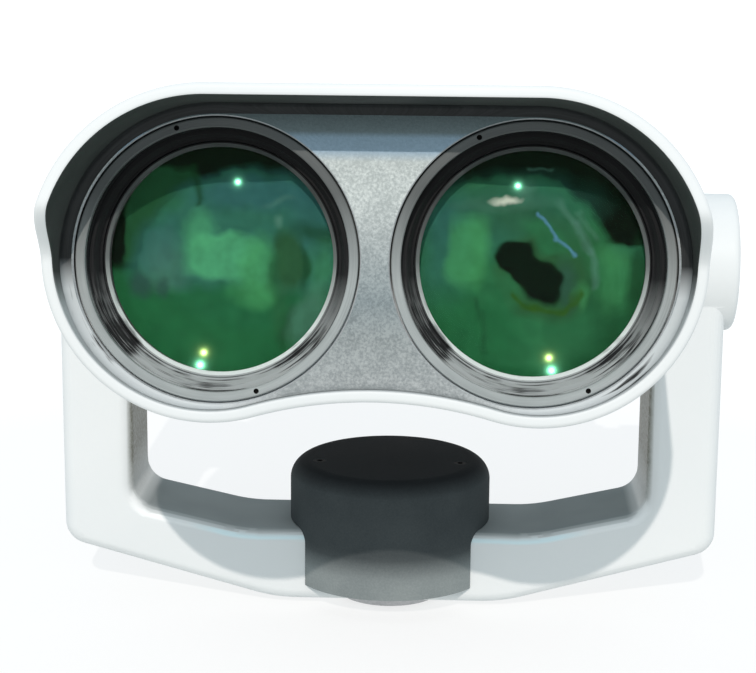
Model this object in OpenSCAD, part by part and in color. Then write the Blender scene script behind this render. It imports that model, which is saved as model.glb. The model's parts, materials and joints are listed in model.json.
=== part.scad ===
// Giant observation binoculars: a twin-objective head that tilts in a U yoke, which
// pans on a spindle above a bolted base flange.
// Millimetres, +Z up. The origin is on the pan axis at the underside of the base flange.
// The objectives look along -Y and the observer stands at +Y.

/* [Optics] */
// Distance between the two objective axes
lens_spacing = 142; // [139:1:146]
// Radius of the objective glass
glass_r = 54; // [52:0.5:54.5]
// Depth of the glass seat behind the front plate's face
lens_recess = 17; // [15:0.5:20]
// Outer radius of the flat bezel ring round each objective
ring_r = 63.6; // [62.5:0.1:64.2]
// Width of the bezel ring's flat face
ring_flat = 4.2; // [3.5:0.1:5]
// Thickness of the bezel ring
ring_t = 4; // [3:0.5:5]
// Open gap between the bezel ring and the front plate
ring_gap = 0.8; // [0.4:0.1:1.2]
// Angle of the left bezel ring's spanner holes, clockwise from the top
spanner_left = 162.5; // [0:0.5:180]
// Angle of the right bezel ring's spanner holes, clockwise from the top
spanner_right = 155.8; // [0:0.1:180]
// Radius of curvature of the crown glass's front surface
crown_front_r = 170; // [150:5:400]
// Radius of curvature of the crown glass's back surface
crown_back_r = 178; // [170:2:260]
// Radius of curvature of the flint glass's front surface
flint_front_r = 198; // [190:2:300]
// Radius of a spanner hole in the bezel ring
spanner_hole_r = 1.2; // [0.8:0.1:1.5]
// Distance between the two eyepiece axes
eye_spacing = 64; // [62:1:68]
// Thickness of each erecting prism across its beam
prism_t = 38; // [34:1:38]

/* [Hood] */
// Radius of the hood's upper outline about each objective axis
hood_r = 75.6; // [75:0.2:78]
// How far the lower outline's centres stand outside the objective axes
lobe_shift = 2.7; // [1:0.1:5]
// Depth of the saddle between the lobes, below the objective axes
saddle_depth = 62.4; // [60:0.2:66]
// Wall of the hood
hood_wall = 5.6; // [4.5:0.1:6.4]
// Reach of the visor in front of the front plate
visor_reach = 50; // [40:1:70]
// Reach of the rim at the sides, below the swept edge
side_reach = 20; // [12:1:28]
// Reach of the rim at its lowest
chin_reach = 6; // [3:1:10]
// Height above the objective axes where the visor's edge starts to sweep back
sweep_top = 20; // [15:1:30]
// Height above the objective axes where the sweep meets the side rim
sweep_foot = 3; // [0:1:8]
// Depth of the hood behind the front plate's face
hood_depth = 54; // [46:1:64]
// Thickness of the front plate
plate_t = 8; // [6:0.5:10]

/* [Housing] */
// Distance from the tilt axis to the front plate's face
plate_reach = 259; // [245:1:280]
// Length of the straight neck behind the hood
neck_len = 50; // [35:1:60]
// Width of the prism box
box_w = 256; // [250:1:262]
// Height of the prism box
box_h = 152; // [148:1:156]
// Corner radius of the prism box
box_corner_r = 38; // [25:1:45]
// Distance from the tilt axis to the front of the prism box
box_front = 62; // [56:1:80]
// Distance from the tilt axis to the back of the prism box
box_back = 94; // [90:1:100]
// Wall of the housing
housing_wall = 5; // [4:0.5:6]
// Thickness of the rear cover
cover_t = 8; // [6:0.5:10]
// Thickness of the rear gasket
gasket_t = 1; // [0.8:0.1:2]

/* [Eyepieces] */
// Radius of the sliding eyepiece barrel
barrel_r = 18; // [17:0.5:18.5]
// Outer radius of the focus ring
focus_r = 29; // [27:0.5:30]
// Width of the focus ring
focus_w = 20; // [14:1:24]
// Number of grip grooves round the focus ring
focus_grooves = 30; // [20:2:36]
// Travel of the eyepiece each way from the middle
focus_travel = 4; // [3:0.5:5]
// Length of the rubber eyecup
eyecup_len = 26; // [20:1:32]

/* [Yoke] */
// Height of the tilt axis above the underside of the base flange
tilt_h = 201; // [198:1:220]
// Rest tilt of the head, objectives raised
rest_tilt = 9.6; // [5:0.1:14]
// Gap between the prism box and each yoke arm
side_gap = 19.5; // [18:0.5:24]
// Width of each yoke arm
arm_w = 40.5; // [36:0.5:48]
// Depth of the yoke, front to back
yoke_t = 67; // [62:1:74]
// Radius rolled over every long edge of the yoke
edge_r = 8; // [6:0.5:11]
// Height of the crossbar's flat underside
bar_low = 3.2; // [3:0.1:4]
// Height of the crossbar's flat top
bar_top = 46; // [42:0.5:47]
// Half width of the crossbar's flat underside
bar_low_half = 66; // [62:1:75]
// Half width of the crossbar's flat top
bar_top_half = 85; // [80:1:95]
// Height of the outer bottom corner of each arm
heel_h = 37; // [30:1:42]
// Radius of the outer bottom corner of each arm, seen from the front
heel_round = 14; // [12:1:24]
// Height of the inner bottom corner of each arm
crook_h = 60; // [55:1:64]
// Radius of the inner bottom corner of each arm, seen from the front
crook_round = 14; // [10:1:18]
// Radius of the trunnion boss at the top of each arm
boss_r = 39; // [36:1:42]
// How far each boss stands out of its arm
boss_proud = 6.5; // [4:0.5:10]

/* [Pan bearing] */
// Radius of the black hub cover
hub_r = 58.6; // [57:0.2:62]
// Height of the hub cover's top
hub_top = 81.5; // [80:0.5:86]
// Height of the hub cover's lower edge
hub_low = 13.3; // [10:0.5:18]
// Radius rolled over the hub cover's top edge
hub_round = 11.6; // [8:0.2:14]
// Wall of the hub cover
hub_wall = 4; // [3:0.5:5]
// Radius of the base flange
flange_r = 30; // [29:0.5:32]
// Thickness of the base flange
flange_t = 9; // [7:0.5:9.5]
// Diameter of the base flange's bolt circle
bolt_circle = 43; // [42:0.5:46]
// Radius of a bolt hole in the base flange
bolt_hole_r = 3.4; // [2.7:0.1:3.6]
// Radius of the pan spindle
spindle_r = 16; // [14:0.5:17]

/* [Tilt bearing] */
// Radius of the trunnion shaft
trunnion_r = 15; // [12:0.5:17]
// Wall of the bearing bushes
bush_wall = 5; // [4:0.5:6]
// Radial clearance of every running fit
run_gap = 0.05; // [0.03:0.01:0.08]
// Clearance between faces that pass each other
pass_gap = 0.3; // [0.2:0.05:0.5]
// Thickness of the friction disc beside each arm
friction_t = 3; // [2:0.5:4]

/* [Hidden] */
$fn = 96;
eps = 0.01;
far = 400;
head_over = 1.8;
sink_gap = 0.2;
arc_steps = 8;

// Stations along the head, measured from the tilt axis, objectives negative
plate_y = -plate_reach;
plate_back = plate_y + plate_t;
hood_back = plate_y + hood_depth;
neck_back = hood_back + neck_len;
spigot_len = 12;
spigot_wall = 4;
spigot_gap = 0.1;
shoulder_w = 3;
cover_y = box_back + gasket_t;
cover_back = cover_y + cover_t;
cover_screw_r = 2.5;
cover_screw_hold = 10;
cover_head_t = 5.4;
post_r = 5.5;
post_in = housing_wall + 4;
post_len = 16;
hood_screw_r = 2;
hood_screw_sink = 1.8;
hood_screw_len = hood_wall + spigot_gap + spigot_wall;
plate_gap = 0.15;
plate_screw_r = 2.5;
plate_screw_hold = 5;
lug_depth = 10;
lug_w = 12;
lens_x = lens_spacing / 2;
eye_x = eye_spacing / 2;
prism_shift = lens_x - eye_x;
eye_z = prism_shift;

// Lens cell, glass and rings, measured back from the front plate's face
seat_y = plate_y + lens_recess;
ring_in = ring_r - ring_flat;
cell_r = ring_r - 1.6;
cell_flange_gap = 1.1;
cell_flange_r = hood_r - hood_wall - shoulder_w - lobe_shift - cell_flange_gap;
cell_flange_t = 5;
cell_len = 52;
ring_back = plate_y + ring_t;
cell_mouth_r = ring_in - 0.4;
keeper_t = 3;
keeper_w = 2.6;
glass_gap = 0.1;
crown_y = seat_y + keeper_t;
crown_edge = 6;
spacer_y = crown_y + crown_edge;
flint_edge = 11;
spacer_t = 1.6;
spacer_w = 2;
flint_bow = 1.5;
dome_r = glass_r - keeper_w - glass_gap;
front_bow = bow_of(crown_front_r, dome_r);
back_bow = bow_of(crown_back_r, glass_r);
hollow_bow = bow_of(flint_front_r, glass_r);
spacer_lean = back_bow - bow_of(crown_back_r, glass_r - spacer_w) + pass_gap;
cell_bore_r = glass_r + glass_gap;
cell_lip_r = glass_r - 3;
flint_y = spacer_y + spacer_t;
cell_lip_y = flint_y + flint_edge;

// Prisms and their plate
prism_plate_t = 6;
prism_plate_y = 34;
prism_plate_back = prism_plate_y + prism_plate_t;
prism_lug_w = 20;
prism_lug_len = 30;
prism_seat = 9;
prism_plate_w = box_w - 2 * (housing_wall + prism_lug_w - prism_seat);
prism_plate_h = box_h - 32;
prism_screw_x = (prism_plate_w - prism_seat) / 2;
prism_screw_z = prism_plate_h / 2 - 15;
prism_screw_r = 2;
prism_screw_hold = 11;
prism_hole_r = 16;

// Eyepieces, measured along the head from the tilt axis
tube_wall = 4;
tube_r = barrel_r + run_gap + tube_wall;
turret_len = 10;
turret_r = focus_r + 0.5;
turret_y = cover_back + turret_len;
focus_y = turret_y + pass_gap;
focus_back = focus_y + focus_w;
groove_r = 1.2;
focus_lip = 2.5;
focus_keeper_t = 3;
focus_keeper_y = focus_back + pass_gap;
tube_y = box_back - 12;
tube_back = focus_keeper_y + focus_keeper_t;
tube_flange_t = 4;
tube_flange_r = tube_r + 5;
cup_y = tube_back + focus_travel + pass_gap;
barrel_wall = 3;
barrel_y = tube_y + focus_travel + 4;
cup_seat = 14;
barrel_back = cup_y + cup_seat;
barrel_lip = 1.5;
eye_glass_t = 7;
eye_bow = 2;

// Tilt bearing, measured out from the middle
pad_proud = 5;
pad_r = 38;
arm_in = box_w / 2 + side_gap;
arm_out = arm_in + arm_w;
dip_round = 95;
boss_in = arm_in - 1.5;
boss_out = arm_out + boss_proud;
disc_out = boss_in - pass_gap;
disc_in = disc_out - friction_t;
pad_x = box_w / 2 + pad_proud;
trunnion_bush_r = trunnion_r + run_gap + bush_wall;
cap_r = 30;
cap_t = 3.5;
cap_in = boss_out - cap_t;
keeper_r = trunnion_bush_r + 3;
keeper_out = cap_in - 1;
keeper_in = keeper_out - 4;
keeper_screw_r = 3;
keeper_screw_hold = 14;
keeper_head_t = 2.5;
bush_out = keeper_in - pass_gap;
trunnion_flange_r = 34;
trunnion_screw_n = 6;
trunnion_screw_ring = 27;
trunnion_screw_r = 2.5;
trunnion_screw_hold = 9;
trunnion_head_t = 5.4;

// Pan bearing, heights above the underside of the base flange
washer_t = 2;
washer_top = flange_t + washer_t;
recess_top = washer_top + pass_gap;
pan_bush_r = spindle_r + run_gap + bush_wall;
pan_boss_r = hub_r - hub_wall - 8;
pan_boss_top = hub_top - hub_wall - 16;
bush_len = 18;
lock_washer_t = 2.5;
nut_t = 9;
nut_r = spindle_r + 3;
thread_r = spindle_r - 4;
spigot_r = spindle_r - 2;
cover_gap = 0.4;
hub_screw_x = 41;
hub_screw_y = -9;
hub_screw_r = 2;
hub_screw_hold = 7;
hub_pillar_r = 5;
hub_screw_sink = 4.2;

// Points of an arc about [cx, cy], from angle a to angle b
function arc(cx, cy, r, a, b, n) =
    [for (i = [0:n]) [cx + r * cos(a + (b - a) * i / n), cy + r * sin(a + (b - a) * i / n)]];

// Height of a spherical surface of radius curve over a rim of radius r
function bow_of(curve, r) = curve - sqrt(curve * curve - r * r);

function unit(v) = v / norm(v);
function turn(d) = d > 180 ? d - 360 : d < -180 ? d + 360 : d;

// Arc that rounds the corner q, between p and s, to radius r
function round_corner(p, q, s, r) =
    let (u = unit(p - q), v = unit(s - q), half = acos(u * v) / 2,
         c = q + unit(u + v) * r / sin(half),
         a = q + u * r / tan(half) - c, b = q + v * r / tan(half) - c,
         from = atan2(a.y, a.x), sweep = turn(atan2(b.y, b.x) - from))
    arc(c.x, c.y, r, from, from + sweep, arc_steps);

// Outline through corners [x, y, radius]; a radius of 0 stays sharp
function rounded(k) =
    [for (i = [0:len(k) - 1])
        let (n = len(k), p = k[(i + n - 1) % n], s = k[(i + 1) % n], q = k[i])
        each q[2] == 0 ? [[q.x, q.y]]
            : round_corner([p.x, p.y], [q.x, q.y], [s.x, s.y], q[2])];

function mirrored(half) = [for (i = [len(half) - 1:-1:0]) [-half[i].x, half[i].y]];

// Right half of the head's outline, drawn in by e: a round shoulder about the objective
// axis, a slightly smaller lobe below it, and a wide arc that saddles up to the middle
function lobe_half(e) =
    let (up = hood_r - e, low = up - lobe_shift, cx = lens_x + lobe_shift,
         dip = saddle_depth - e, wide = (cx * cx + dip * dip - low * low) / (2 * (low - dip)),
         lean = atan2(cx, dip + wide))
    concat(arc(lens_x, 0, up, 90, 0, 24),
           [for (p = arc(cx, 0, low, 0, -90 - lean, 28)) if (p.y < -eps) p],
           [for (p = arc(0, -dip - wide, wide, 90 - lean, 90, 9)) if (p.x < wide * sin(lean) - eps) p]);

function head_outline(e) =
    let (half = lobe_half(e), flip = mirrored(half))
    concat(half, [for (p = flip) if (p.x < -eps) p]);

// One lobe alone, without the saddle, so that it is convex
function lobe_only(e) = [for (p = lobe_half(e)) if (p.x > lens_x / 2 || p.y > 0) p];

// Solid of a flat outline between two stations along the head
module along(y0, y1) {
    translate([0, y1, 0]) rotate([90, 0, 0]) linear_extrude(y1 - y0) children();
}

// Solid of revolution whose profile is [radius, distance back along the head]
module turned(x, z) {
    translate([x, 0, z]) rotate([-90, 0, 0]) rotate_extrude() children();
}

module tube(r_out, r_in, len) {
    difference() {
        cylinder(r = r_out, h = len);
        translate([0, 0, -1]) cylinder(r = r_in, h = len + 2);
    }
}

// Cylinder along the head
module rod(x, z, r, y0, y1) {
    translate([x, y0, z]) rotate([-90, 0, 0]) cylinder(r = r, h = y1 - y0);
}

// Cylinder along X, from x0 to x1
module cross_rod(r, x0, x1) {
    translate([x0, 0, 0]) rotate([0, 90, 0]) cylinder(r = r, h = x1 - x0);
}

module round_rect(w, h, r) {
    square([w - 2 * r, h], center = true);
    square([w, h - 2 * r], center = true);
    for (sx = [-1, 1], sy = [-1, 1]) translate([sx * (w / 2 - r), sy * (h / 2 - r)]) circle(r);
}

// The head's own frame: origin on the tilt axis, level
module in_head() {
    translate([0, 0, tilt_h]) rotate([-rest_tilt, 0, 0]) children();
}

function head_r(r) = r + head_over;

// Screw that fills a hole of radius r, with a flat socket head upwards
module set_screw(r, shank, head_t) {
    cylinder(r = r - run_gap, h = shank);
    translate([0, 0, shank]) difference() {
        cylinder(r = head_r(r), h = head_t);
        translate([0, 0, head_t * 0.4]) cylinder(r = head_r(r) * 0.5, h = head_t, $fn = 6);
    }
}

// Socket-head screw whose head is as tall as its thread is wide
module cap_screw(r, shank) set_screw(r, shank, 2 * r);

// Fixed base

module bolt_ring(n, ring, start) {
    for (i = [0:n - 1]) rotate(start + i * 360 / n) translate([ring, 0, 0]) children();
}

module base_flange() color("silver") difference() {
    union() {
        cylinder(r = flange_r, h = flange_t - 1);
        cylinder(r = flange_r - 1, h = flange_t);
    }
    translate([0, 0, -1]) cylinder(r = spigot_r, h = flange_t + 2);
    bolt_ring(4, bolt_circle / 2, 45) translate([0, 0, -1])
        cylinder(r = bolt_hole_r, h = flange_t + 2);
}

module pan_spindle() color("lightgray") {
    translate([0, 0, 1]) cylinder(r = spigot_r, h = flange_t - 1);
    translate([0, 0, flange_t]) cylinder(r = spindle_r, h = pan_boss_top + pass_gap - flange_t);
    translate([0, 0, pan_boss_top + pass_gap])
        cylinder(r = thread_r, h = lock_washer_t + nut_t + 1);
}

module pan_thrust_washer() color("goldenrod") translate([0, 0, flange_t])
    tube(flange_r - 1, spindle_r + 0.2, washer_t);

module pan_lock_washer() color("gray") translate([0, 0, pan_boss_top + pass_gap])
    tube(nut_r + 3, thread_r + run_gap, lock_washer_t);

module pan_nut() color("lightgray")
    translate([0, 0, pan_boss_top + pass_gap + lock_washer_t]) difference() {
        cylinder(r = nut_r, h = nut_t, $fn = 6);
        translate([0, 0, -1]) cylinder(r = thread_r + run_gap, h = nut_t + 2);
    }

// Yoke

// Front outline of the yoke: two upright arms joined by a crossbar that dips to the middle
function yoke_outline() =
    let (arm_top = tilt_h + 8,
         half = [[arm_in, arm_top, 0], [arm_in, crook_h, crook_round], [bar_top_half, bar_top, dip_round]])
    let (low = [[bar_low_half, bar_low, dip_round], [arm_out, heel_h, heel_round], [arm_out, arm_top, 0]])
    rounded(concat(half, [for (i = [2:-1:0]) [-half[i][0], half[i][1], half[i][2]]],
                   [for (i = [2:-1:0]) [-low[i][0], low[i][1], low[i][2]]], low));

module yoke_frame() {
    minkowski() {
        along(edge_r - yoke_t / 2, yoke_t / 2 - edge_r) offset(delta = -edge_r)
            polygon(yoke_outline());
        sphere(r = edge_r, $fn = 24);
    }
}

module trunnion_boss(side) {
    e = 4;
    mirror([side < 0 ? 1 : 0, 0, 0]) translate([boss_in, 0, tilt_h]) rotate([0, 90, 0])
        rotate_extrude() {
            square([boss_r, boss_out - boss_in - e]);
            square([boss_r - e, boss_out - boss_in]);
            translate([boss_r - e, boss_out - boss_in - e]) intersection() {
                circle(e);
                square(e);
            }
        }
}

module yoke() color("whitesmoke") difference() {
    union() {
        yoke_frame();
        trunnion_boss(-1);
        trunnion_boss(1);
        translate([0, 0, hub_low + 1]) cylinder(r = pan_boss_r, h = pan_boss_top - hub_low - 1);
    }
    translate([0, 0, -1]) cylinder(r = flange_r + 1, h = recess_top + 1);
    cylinder(r = pan_bush_r, h = hub_top);
    for (side = [-1, 1]) mirror([side < 0 ? 1 : 0, 0, 0]) translate([0, 0, tilt_h]) {
        cross_rod(trunnion_bush_r, boss_in - 1, boss_out + 1);
        cross_rod(keeper_r + 1, bush_out, boss_out + 1);
        cross_rod(cap_r + 0.1, cap_in, boss_out + 1);
    }
    for (p = hub_screw_spots()) translate([p.x, p.y, pan_boss_top - hub_screw_hold - 1])
        cylinder(r = hub_screw_r, h = hub_screw_hold + 2);
}

module pan_bush(z) color("goldenrod") translate([0, 0, z])
    tube(pan_bush_r, spindle_r + run_gap, bush_len);

module pan_bush_lower() pan_bush(recess_top);
module pan_bush_upper() pan_bush(pan_boss_top - bush_len);

function hub_screw_spots() = [for (sx = [-1, 1]) [sx * hub_screw_x, hub_screw_y]];

// Round cover over the pan bearing, notched so that it straddles the crossbar
module hub_cover() color([0.1, 0.1, 0.11]) difference() {
    union() {
        difference() {
            union() {
                translate([0, 0, hub_low]) cylinder(r = hub_r, h = hub_top - hub_round - hub_low);
                translate([0, 0, hub_low]) cylinder(r = hub_r - hub_round, h = hub_top - hub_low);
                translate([0, 0, hub_top - hub_round]) rotate_extrude()
                    translate([hub_r - hub_round, 0]) intersection() {
                        circle(hub_round);
                        square(hub_round);
                    }
            }
            translate([0, 0, hub_low - 1])
                cylinder(r = hub_r - hub_wall, h = hub_top - hub_round - hub_low + 1);
            translate([0, 0, hub_low - 1])
                cylinder(r = hub_r - hub_round, h = hub_top - hub_wall - hub_low + 1);
        }
        for (p = hub_screw_spots()) translate([p.x, p.y, pan_boss_top])
            cylinder(r = hub_pillar_r, h = hub_top - hub_wall / 2 - pan_boss_top);
    }
    translate([0, 0, bar_top / 2 - 10]) rotate([90, 0, 90])
        linear_extrude(far, center = true)
            round_rect(yoke_t + 2 * cover_gap, bar_top + 20 + 2 * cover_gap, edge_r);
    for (p = hub_screw_spots()) translate([p.x, p.y, pan_boss_top - 1]) {
        cylinder(r = hub_screw_r, h = far);
        translate([0, 0, hub_top - pan_boss_top - hub_screw_sink + 1])
            cylinder(r = head_r(hub_screw_r) + sink_gap, h = far);
    }
}

module hub_cover_screws() color([0.15, 0.15, 0.15])
    for (p = hub_screw_spots()) translate([p.x, p.y, pan_boss_top - hub_screw_hold])
        cap_screw(hub_screw_r, hub_top - hub_screw_sink - pan_boss_top + hub_screw_hold);

module trunnion_bush(side) color("goldenrod") mirror([side < 0 ? 1 : 0, 0, 0])
    translate([boss_in, 0, tilt_h]) rotate([0, 90, 0])
        tube(trunnion_bush_r, trunnion_r + run_gap, bush_out - boss_in);

module trunnion_bush_left() trunnion_bush(-1);
module trunnion_bush_right() trunnion_bush(1);

module trunnion_cap(side) color("whitesmoke") mirror([side < 0 ? 1 : 0, 0, 0])
    translate([cap_in, 0, tilt_h]) rotate([0, 90, 0]) union() {
        cylinder(r = cap_r, h = cap_t - 1);
        cylinder(r = cap_r - 1, h = cap_t);
    }

module trunnion_cap_left() trunnion_cap(-1);
module trunnion_cap_right() trunnion_cap(1);

// Head housing

// Neck behind the hood, tapering lobe by lobe into the prism box
module housing_form(e, front, back) {
    slice = 0.5;
    along(front, neck_back) polygon(head_outline(e));
    for (side = [-1, 1]) mirror([side < 0 ? 1 : 0, 0, 0]) hull() {
        along(neck_back - slice, neck_back) polygon(lobe_only(e));
        along(-box_front, slice - box_front) translate([box_w / 4, 0])
            round_rect(box_w / 2 - 2 * e, box_h - 2 * e, box_corner_r - e, $fn = 32);
    }
    hull() {
        along(neck_back - slice, neck_back)
            translate([-lens_x, e - saddle_depth]) square([lens_spacing, saddle_depth + hood_r - 2 * e]);
        along(-box_front, slice - box_front)
            square([box_w / 2 + box_corner_r, box_h - 2 * e], center = true);
    }
    along(-box_front, back) round_rect(box_w - 2 * e, box_h - 2 * e, box_corner_r - e);
}

function cover_spots() = [for (sx = [-1, 1], sz = [-1, 1])
    each [[sx * (box_w / 2 - post_in), sz * box_h / 4], [sx * box_w / 3, sz * (box_h / 2 - post_in)]]];

function prism_screw_spots() = [for (sx = [-1, 1], sz = [-1, 1])
    [sx * prism_screw_x, sz * prism_screw_z]];

module housing_shell() difference() {
    union() {
        difference() {
            housing_form(0, hood_back, box_back);
            housing_form(housing_wall, hood_back - 1, box_back + 1);
        }
        spigot_in = hood_wall + spigot_gap + spigot_wall;
        along(hood_back - spigot_len, hood_back) difference() {
            polygon(head_outline(hood_wall + spigot_gap));
            polygon(head_outline(spigot_in));
        }
        along(hood_back, hood_back + housing_wall) difference() {
            polygon(head_outline(housing_wall / 2));
            polygon(head_outline(spigot_in));
        }
    }
    for (p = hood_screw_spots()) translate([p.x, hood_back - spigot_len / 2, p.y])
        rotate([0, p[2], 0]) translate([0, 0, -hood_screw_len - 1])
            cylinder(r = hood_screw_r, h = hood_screw_len);
}

module housing() color("whitesmoke") in_head() difference() {
    union() {
        housing_shell();
        for (side = [-1, 1]) mirror([side < 0 ? 1 : 0, 0, 0]) {
            cross_rod(pad_r, box_w / 2 - housing_wall - 6, pad_x);
            along(prism_plate_y - prism_lug_len, prism_plate_y) intersection() {
                round_rect(box_w - housing_wall, box_h - housing_wall, box_corner_r - housing_wall / 2);
                translate([box_w / 2 - housing_wall - prism_lug_w, -prism_plate_h / 2])
                    square([prism_lug_w + housing_wall, prism_plate_h]);
            }
        }
        for (p = cover_spots()) rod(p.x, p.y, post_r, box_back - post_len, box_back);
    }
    for (p = prism_screw_spots())
        rod(p.x, p.y, prism_screw_r, prism_plate_y - prism_screw_hold - 1, prism_plate_y + 1);
    for (p = cover_spots()) rod(p.x, p.y, cover_screw_r, box_back - cover_screw_hold - 2, box_back + 1);
    for (side = [-1, 1]) mirror([side < 0 ? 1 : 0, 0, 0]) {
        cross_rod(trunnion_r, box_w / 4, pad_x + 1);
        rotate([0, 90, 0]) bolt_ring(trunnion_screw_n, trunnion_screw_ring, 30)
            translate([0, 0, pad_x - trunnion_screw_hold - 1])
                cylinder(r = trunnion_screw_r, h = trunnion_screw_hold + 2);
    }
}

// Hood

// Side view of the region that the hood keeps: the visor's edge stands forward, sweeps
// back at the sides and leans to the chin
function hood_side() =
    let (slope = (side_reach - chin_reach) / (saddle_depth + sweep_foot + 12))
    rounded([[far, hood_r + 20, 0], [plate_y - visor_reach, hood_r + 20, 0],
             [plate_y - visor_reach, sweep_top, 6], [plate_y - side_reach, sweep_foot, 8],
             [plate_y - side_reach + slope * (far / 2 + sweep_foot), -far / 2, 0],
             [far, -far / 2, 0]]);

function plate_screw_spots() = [[-22, 60], [22, 60], [-8, -48], [8, -48]];

function hood_screw_spots() = [
    [lens_x + hood_r, 0, 90], [-lens_x - hood_r, 0, -90],
    [lens_x / 2, hood_r, 0], [-lens_x / 2, hood_r, 0],
    [lens_x + lobe_shift, lobe_shift - hood_r, 180], [-lens_x - lobe_shift, lobe_shift - hood_r, 180]];

module hood() color("whitesmoke") in_head() difference() {
    intersection() {
        along(plate_y - visor_reach, hood_back) polygon(head_outline(0));
        rotate([90, 0, 90]) linear_extrude(far, center = true) polygon(hood_side());
    }
    along(plate_y - visor_reach - 1, plate_back) polygon(head_outline(hood_wall));
    along(hood_back - spigot_len, hood_back + 1) polygon(head_outline(hood_wall));
    difference() {
        along(plate_y, hood_back) polygon(head_outline(hood_wall + shoulder_w));
        for (p = plate_screw_spots())
            translate([p.x - lug_w / 2, plate_back, p.y > 0 ? p.y - lug_w / 2 : p.y + lug_w / 2 - far])
                cube([lug_w, lug_depth, far]);
    }
    for (p = plate_screw_spots()) rod(p.x, p.y, plate_screw_r, plate_y, plate_back + lug_depth + 1);
    for (p = hood_screw_spots()) translate([p.x, hood_back - spigot_len / 2, p.y])
        rotate([0, p[2], 0]) {
            translate([0, 0, -hood_screw_len - 1]) cylinder(r = hood_screw_r, h = far);
            translate([0, 0, -hood_screw_sink])
                cylinder(r = head_r(hood_screw_r) + sink_gap, h = far);
        }
}

module hood_screws() color("gray") in_head()
    for (p = hood_screw_spots()) translate([p.x, hood_back - spigot_len / 2, p.y])
        rotate([0, p[2], 0]) translate([0, 0, -hood_screw_len])
            set_screw(hood_screw_r, hood_screw_len - hood_screw_sink, hood_screw_sink - 0.2);

module front_plate() color("silver") in_head() difference() {
    along(plate_y, plate_back) polygon(head_outline(hood_wall + plate_gap));
    for (side = [-1, 1]) {
        rod(side * lens_x, 0, ring_r + ring_gap, plate_y - 1, ring_back);
        rod(side * lens_x, 0, cell_r + glass_gap, plate_y, plate_back + 1);
    }
    for (p = plate_screw_spots()) rod(p.x, p.y, plate_screw_r, plate_back - plate_screw_hold, plate_back + 1);
}

module plate_screws() color("gray") in_head()
    for (p = plate_screw_spots()) translate([p.x, plate_back - plate_screw_hold, p.y])
        rotate([-90, 0, 0]) cap_screw(plate_screw_r, lug_depth + plate_screw_hold);

// Objectives

// Half section of a bowed surface whose middle stands at y and whose rim is bow further back
function bowed(r, bow, y) =
    let (curve = abs(r * r + bow * bow) / (2 * abs(bow)), way = sign(bow))
    [for (i = [0:16]) let (x = r * i / 16) [x, y + way * (curve - sqrt(curve * curve - x * x))]];

function backwards(v) = [for (i = [len(v) - 1:-1:0]) v[i]];

module bezel_ring(side, angle) color("silver") in_head() difference() {
    e = 0.4;
    turned(side * lens_x, 0) polygon([
        [ring_in, plate_y + e], [ring_in + e, plate_y], [ring_r - e, plate_y],
        [ring_r, plate_y + e], [ring_r, ring_back], [ring_in, ring_back]]);
    for (a = [angle, angle + 180])
        rod(side * lens_x + (ring_in + ring_r) / 2 * sin(a), (ring_in + ring_r) / 2 * cos(a),
            spanner_hole_r, plate_y - 1, plate_y + ring_t * 0.6);
}

module bezel_ring_left() bezel_ring(-1, spanner_left);
module bezel_ring_right() bezel_ring(1, spanner_right);

module lens_cell(side) color([0.12, 0.12, 0.13]) in_head() turned(side * lens_x, 0) polygon([
    [cell_mouth_r, ring_back], [cell_r, ring_back], [cell_r, plate_back],
    [cell_flange_r, plate_back], [cell_flange_r, plate_back + cell_flange_t],
    [cell_r, plate_back + cell_flange_t], [cell_r, plate_y + cell_len],
    [cell_lip_r, plate_y + cell_len], [cell_lip_r, cell_lip_y], [cell_bore_r, cell_lip_y],
    [cell_bore_r, seat_y - 1], [cell_bore_r + 1, seat_y - 1], [cell_mouth_r - 2, ring_back + 5],
    [cell_mouth_r, ring_back + 5]]);

module lens_cell_left() lens_cell(-1);
module lens_cell_right() lens_cell(1);

module retaining_ring(side) color("silver") in_head() turned(side * lens_x, 0) polygon([
    [glass_r - keeper_w, seat_y + 1], [glass_r - keeper_w + 1, seat_y], [glass_r, seat_y],
    [glass_r, crown_y], [glass_r - keeper_w, crown_y]]);

module retaining_ring_left() retaining_ring(-1);
module retaining_ring_right() retaining_ring(1);

module objective_crown(side) color([0.3, 0.6, 0.5]) in_head() turned(side * lens_x, 0)
    polygon(concat(
        bowed(dome_r, front_bow, crown_y - front_bow), [[glass_r, crown_y]],
        backwards(bowed(glass_r, -back_bow, spacer_y + back_bow))));

module objective_crown_left() objective_crown(-1);
module objective_crown_right() objective_crown(1);

module lens_spacer(side) color("silver") in_head() turned(side * lens_x, 0) polygon([
    [glass_r - spacer_w, spacer_y + spacer_lean], [glass_r, spacer_y], [glass_r, flint_y],
    [glass_r - spacer_w, flint_y]]);

module lens_spacer_left() lens_spacer(-1);
module lens_spacer_right() lens_spacer(1);

module objective_flint(side) color([0.4, 0.6, 0.6]) in_head() turned(side * lens_x, 0)
    polygon(concat(
        bowed(glass_r, -hollow_bow, flint_y + hollow_bow),
        backwards(bowed(glass_r, flint_bow, cell_lip_y - flint_bow))));

module objective_flint_left() objective_flint(-1);
module objective_flint_right() objective_flint(1);

// Erecting prisms

// Plate between the two pairs of prisms, with an aperture wherever the light crosses it
module prism_plate() color("silver") in_head() difference() {
    along(prism_plate_y, prism_plate_back) round_rect(prism_plate_w, prism_plate_h, 6);
    for (side = [-1, 1], p = [[lens_x, 0], [lens_x, eye_z], [eye_x, eye_z]])
        rod(side * p.x, p.y, prism_hole_r, prism_plate_y - 1, prism_plate_back + 1);
    for (p = prism_screw_spots())
        rod(p.x, p.y, prism_screw_r, prism_plate_y - 1, prism_plate_back + 1);
}

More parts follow.
